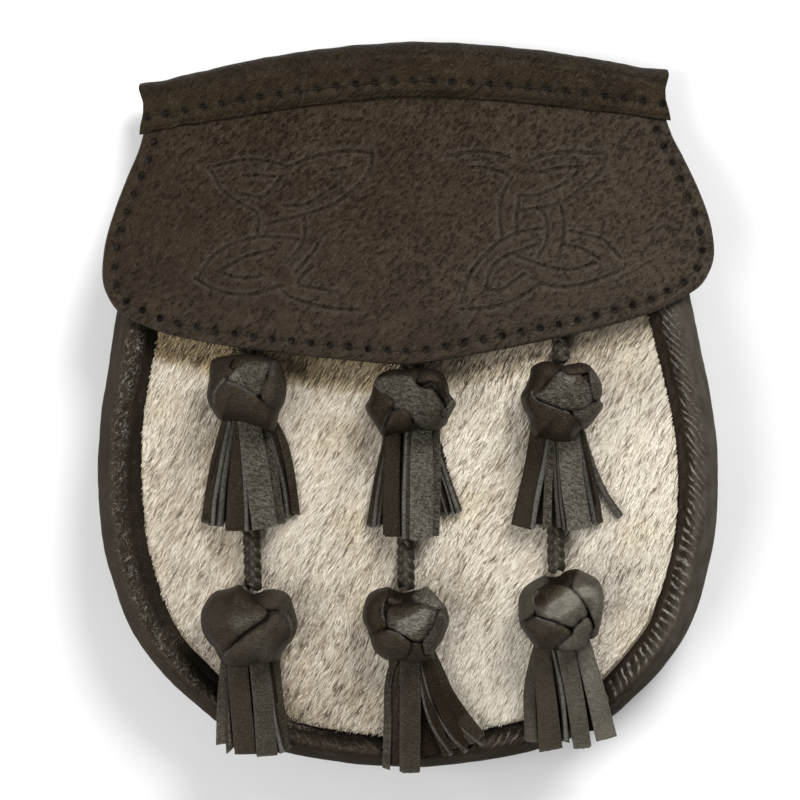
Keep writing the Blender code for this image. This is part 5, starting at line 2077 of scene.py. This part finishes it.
def head(pile, name, place, seed):
    """A knotted head: leather faces wrapped over one another on a puffed form."""
    shape = HEADS[name]
    outline = smooth_loop(seen(shape["outline"], place, HEAD_HEIGHT), spacing=0.42)
    faces = [seen(points, place, HEAD_HEIGHT) for _, _, _, points in shape["faces"]]
    loops = [smooth_loop(points, spacing=0.3) for points in faces]
    flat, tris = filled_sheet(outline, head_points(outline, loops))
    inset = distance_to(flat, outline)
    inset[inset < ON_EDGE] = 0.0
    height, tone, dirt, edge = relief(flat, shape, place, loops)
    x, y = flat.T
    height += 0.16 * wander(x, y, 4.0, seed) + 0.07 * wander(x, y, 1.6, seed + 1)
    top = puffed(inset, reach=9.0, power=2.3) * (HEAD_DEPTH / 2 - FACES_ROOM)
    top += height * np.clip(inset / 1.6, 0, 1) ** 0.5
    low_flat, low_tris = filled_sheet(outline, spread_points(outline, spacing=2.2, clear=1.0))
    low_inset = distance_to(low_flat, outline)
    low = -puffed(low_inset, reach=8.0, power=2.0) * (HEAD_DEPTH / 2 - 0.3)
    low[low_inset < ON_EDGE] = -0.4
    upper, lower = np.column_stack([flat, top]), np.column_stack([low_flat, low])
    points, walls, tris = closed_sheet(outline, upper, tris, lower, low_tris)
    pad = np.zeros(len(low))
    pile.add(
        points + head_centre(*place),
        walls,
        tris,
        tone=np.concatenate([tone, pad + 0.15]),
        dirt=np.concatenate([dirt, pad]),
        edge=np.concatenate([edge, pad]),
    )


def skirt_heights(name, head_x, x, y, t, share):
    """What a strip lies over, and the height of the skirt's arch, along the strip."""
    arch = np.sqrt(np.maximum(1 - (2 * share - 1) ** 2, 0.0))
    if name.startswith("lower"):
        low = np.full_like(t, rim_height(y[-1]) + GAP)
        start = panel_height(np.array([head_x]), y[:1])
        base = mix(start, low, ease(0.0, 0.65, t))
        top = mix(SKIRT_TOP, SKIRT_TOP_ON_RIM, t)
    else:
        base = panel_height(x, y)
        top = np.full_like(t, SKIRT_TOP)
    return base, base + mix(SKIRT_LOW, top, arch)


def strip(pile, tassel, row, seed):
    """One cut leather strip of a skirt, seen on its face or standing on its edge."""
    name, place, _, (left, right) = tassel
    kind, route, widths, level, lightness, bare = row
    line = even_points(smooth_line(seen(route, place, STRIP_HEIGHT)), STRIP_POINTS)
    t = np.linspace(0, 1, len(line))
    width = np.interp(t, np.linspace(0, 1, len(widths)), np.array(widths) * MM_A_PIXEL)
    x, y = (line + place).T
    spread = mix(SKIRT_GATHERED, 1.0, t)
    share = np.clip((line[:, 0] - left * spread) / ((right - left) * spread), 0.02, 0.98)
    base, z = skirt_heights(name, place[0], x, y, t, share)
    z = z + level + 0.3 * wander(t * 40 + seed, t * 0, 14.0, seed) * t
    z = np.maximum(z, base + 0.25 + STRIP_THICKNESS)
    rng = np.random.default_rng(seed)
    if kind == "face":
        angle = (2 * share - 1) * FACE_LEAN + np.radians(rng.normal(0, FACE_TWIST)) * t
        z = z - STRIP_THICKNESS
        skew = rng.normal(0, FACE_SKEW)
        shape = dict(width=width, thickness=STRIP_THICKNESS, crown=FACE_CROWN, skew=skew)
    else:
        side = 1.0 if share[-1] > 0.5 else -1.0
        angle = np.full_like(t, EDGE_STRIP_LEAN * side)
        depth = np.minimum(EDGE_STRIP_DEPTH, (z - base - 0.3) * 1.6)
        z = z - depth / 2
        x = x - side * width / 2
        shape = dict(width=depth, thickness=width)
    up = np.column_stack([np.sin(angle), 0.0 * t, np.cos(angle)])
    points = np.column_stack([x, y, z])
    strap(pile, points, up, tone=lightness, dirt=0.0, bare=bare, **shape)


def tassel_piece(tassel, material, number):
    """A knotted head and its skirt of strips, as one piece."""
    name, place, _, _ = tassel
    pile = Pile()
    head(pile, name, place, 100 + 10 * number)
    for k, row in enumerate(STRIPS[name]):
        strip(pile, tassel, row, 200 + 20 * number + k)
    pile.values["smooth"] = [np.full(pile.count, SMOOTH_TASSELS.get(name, 0.0))]
    obj = pile.made(f"knot_{name}")
    obj.data.set_sharp_from_angle(angle=math.radians(48))
    dressed(obj, material, [f"tassel_{name}"])


# ---------------------------------------------------------------- scene


def main():
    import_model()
    add_camera()
    add_lights()
    add_floor()

    skins = {name: leather(name, **look) for name, look in LEATHERS.items()}
    thread = thread_material("waxed_thread")
    for name, points in CORDS.items():
        braid(name, points, skins["thong_leather"])
    rim(skins["rim_leather"])
    hide(skin_material("hide_skin"))
    all_hair(hair_material("hair"))
    flap(skins["flap_leather"], thread)
    binding(skins["binding_leather"], thread)
    for number, tassel in enumerate(TASSELS):
        tassel_piece(tassel, skins["tassel_leather"], number)
    for node in ("back_panel", "belt_loop_left", "belt_loop_right"):
        coated(bpy.data.objects[node], skins["body_leather"])
    coated(bpy.data.objects["closure_stud"], metal_material("stud_metal"))


main()
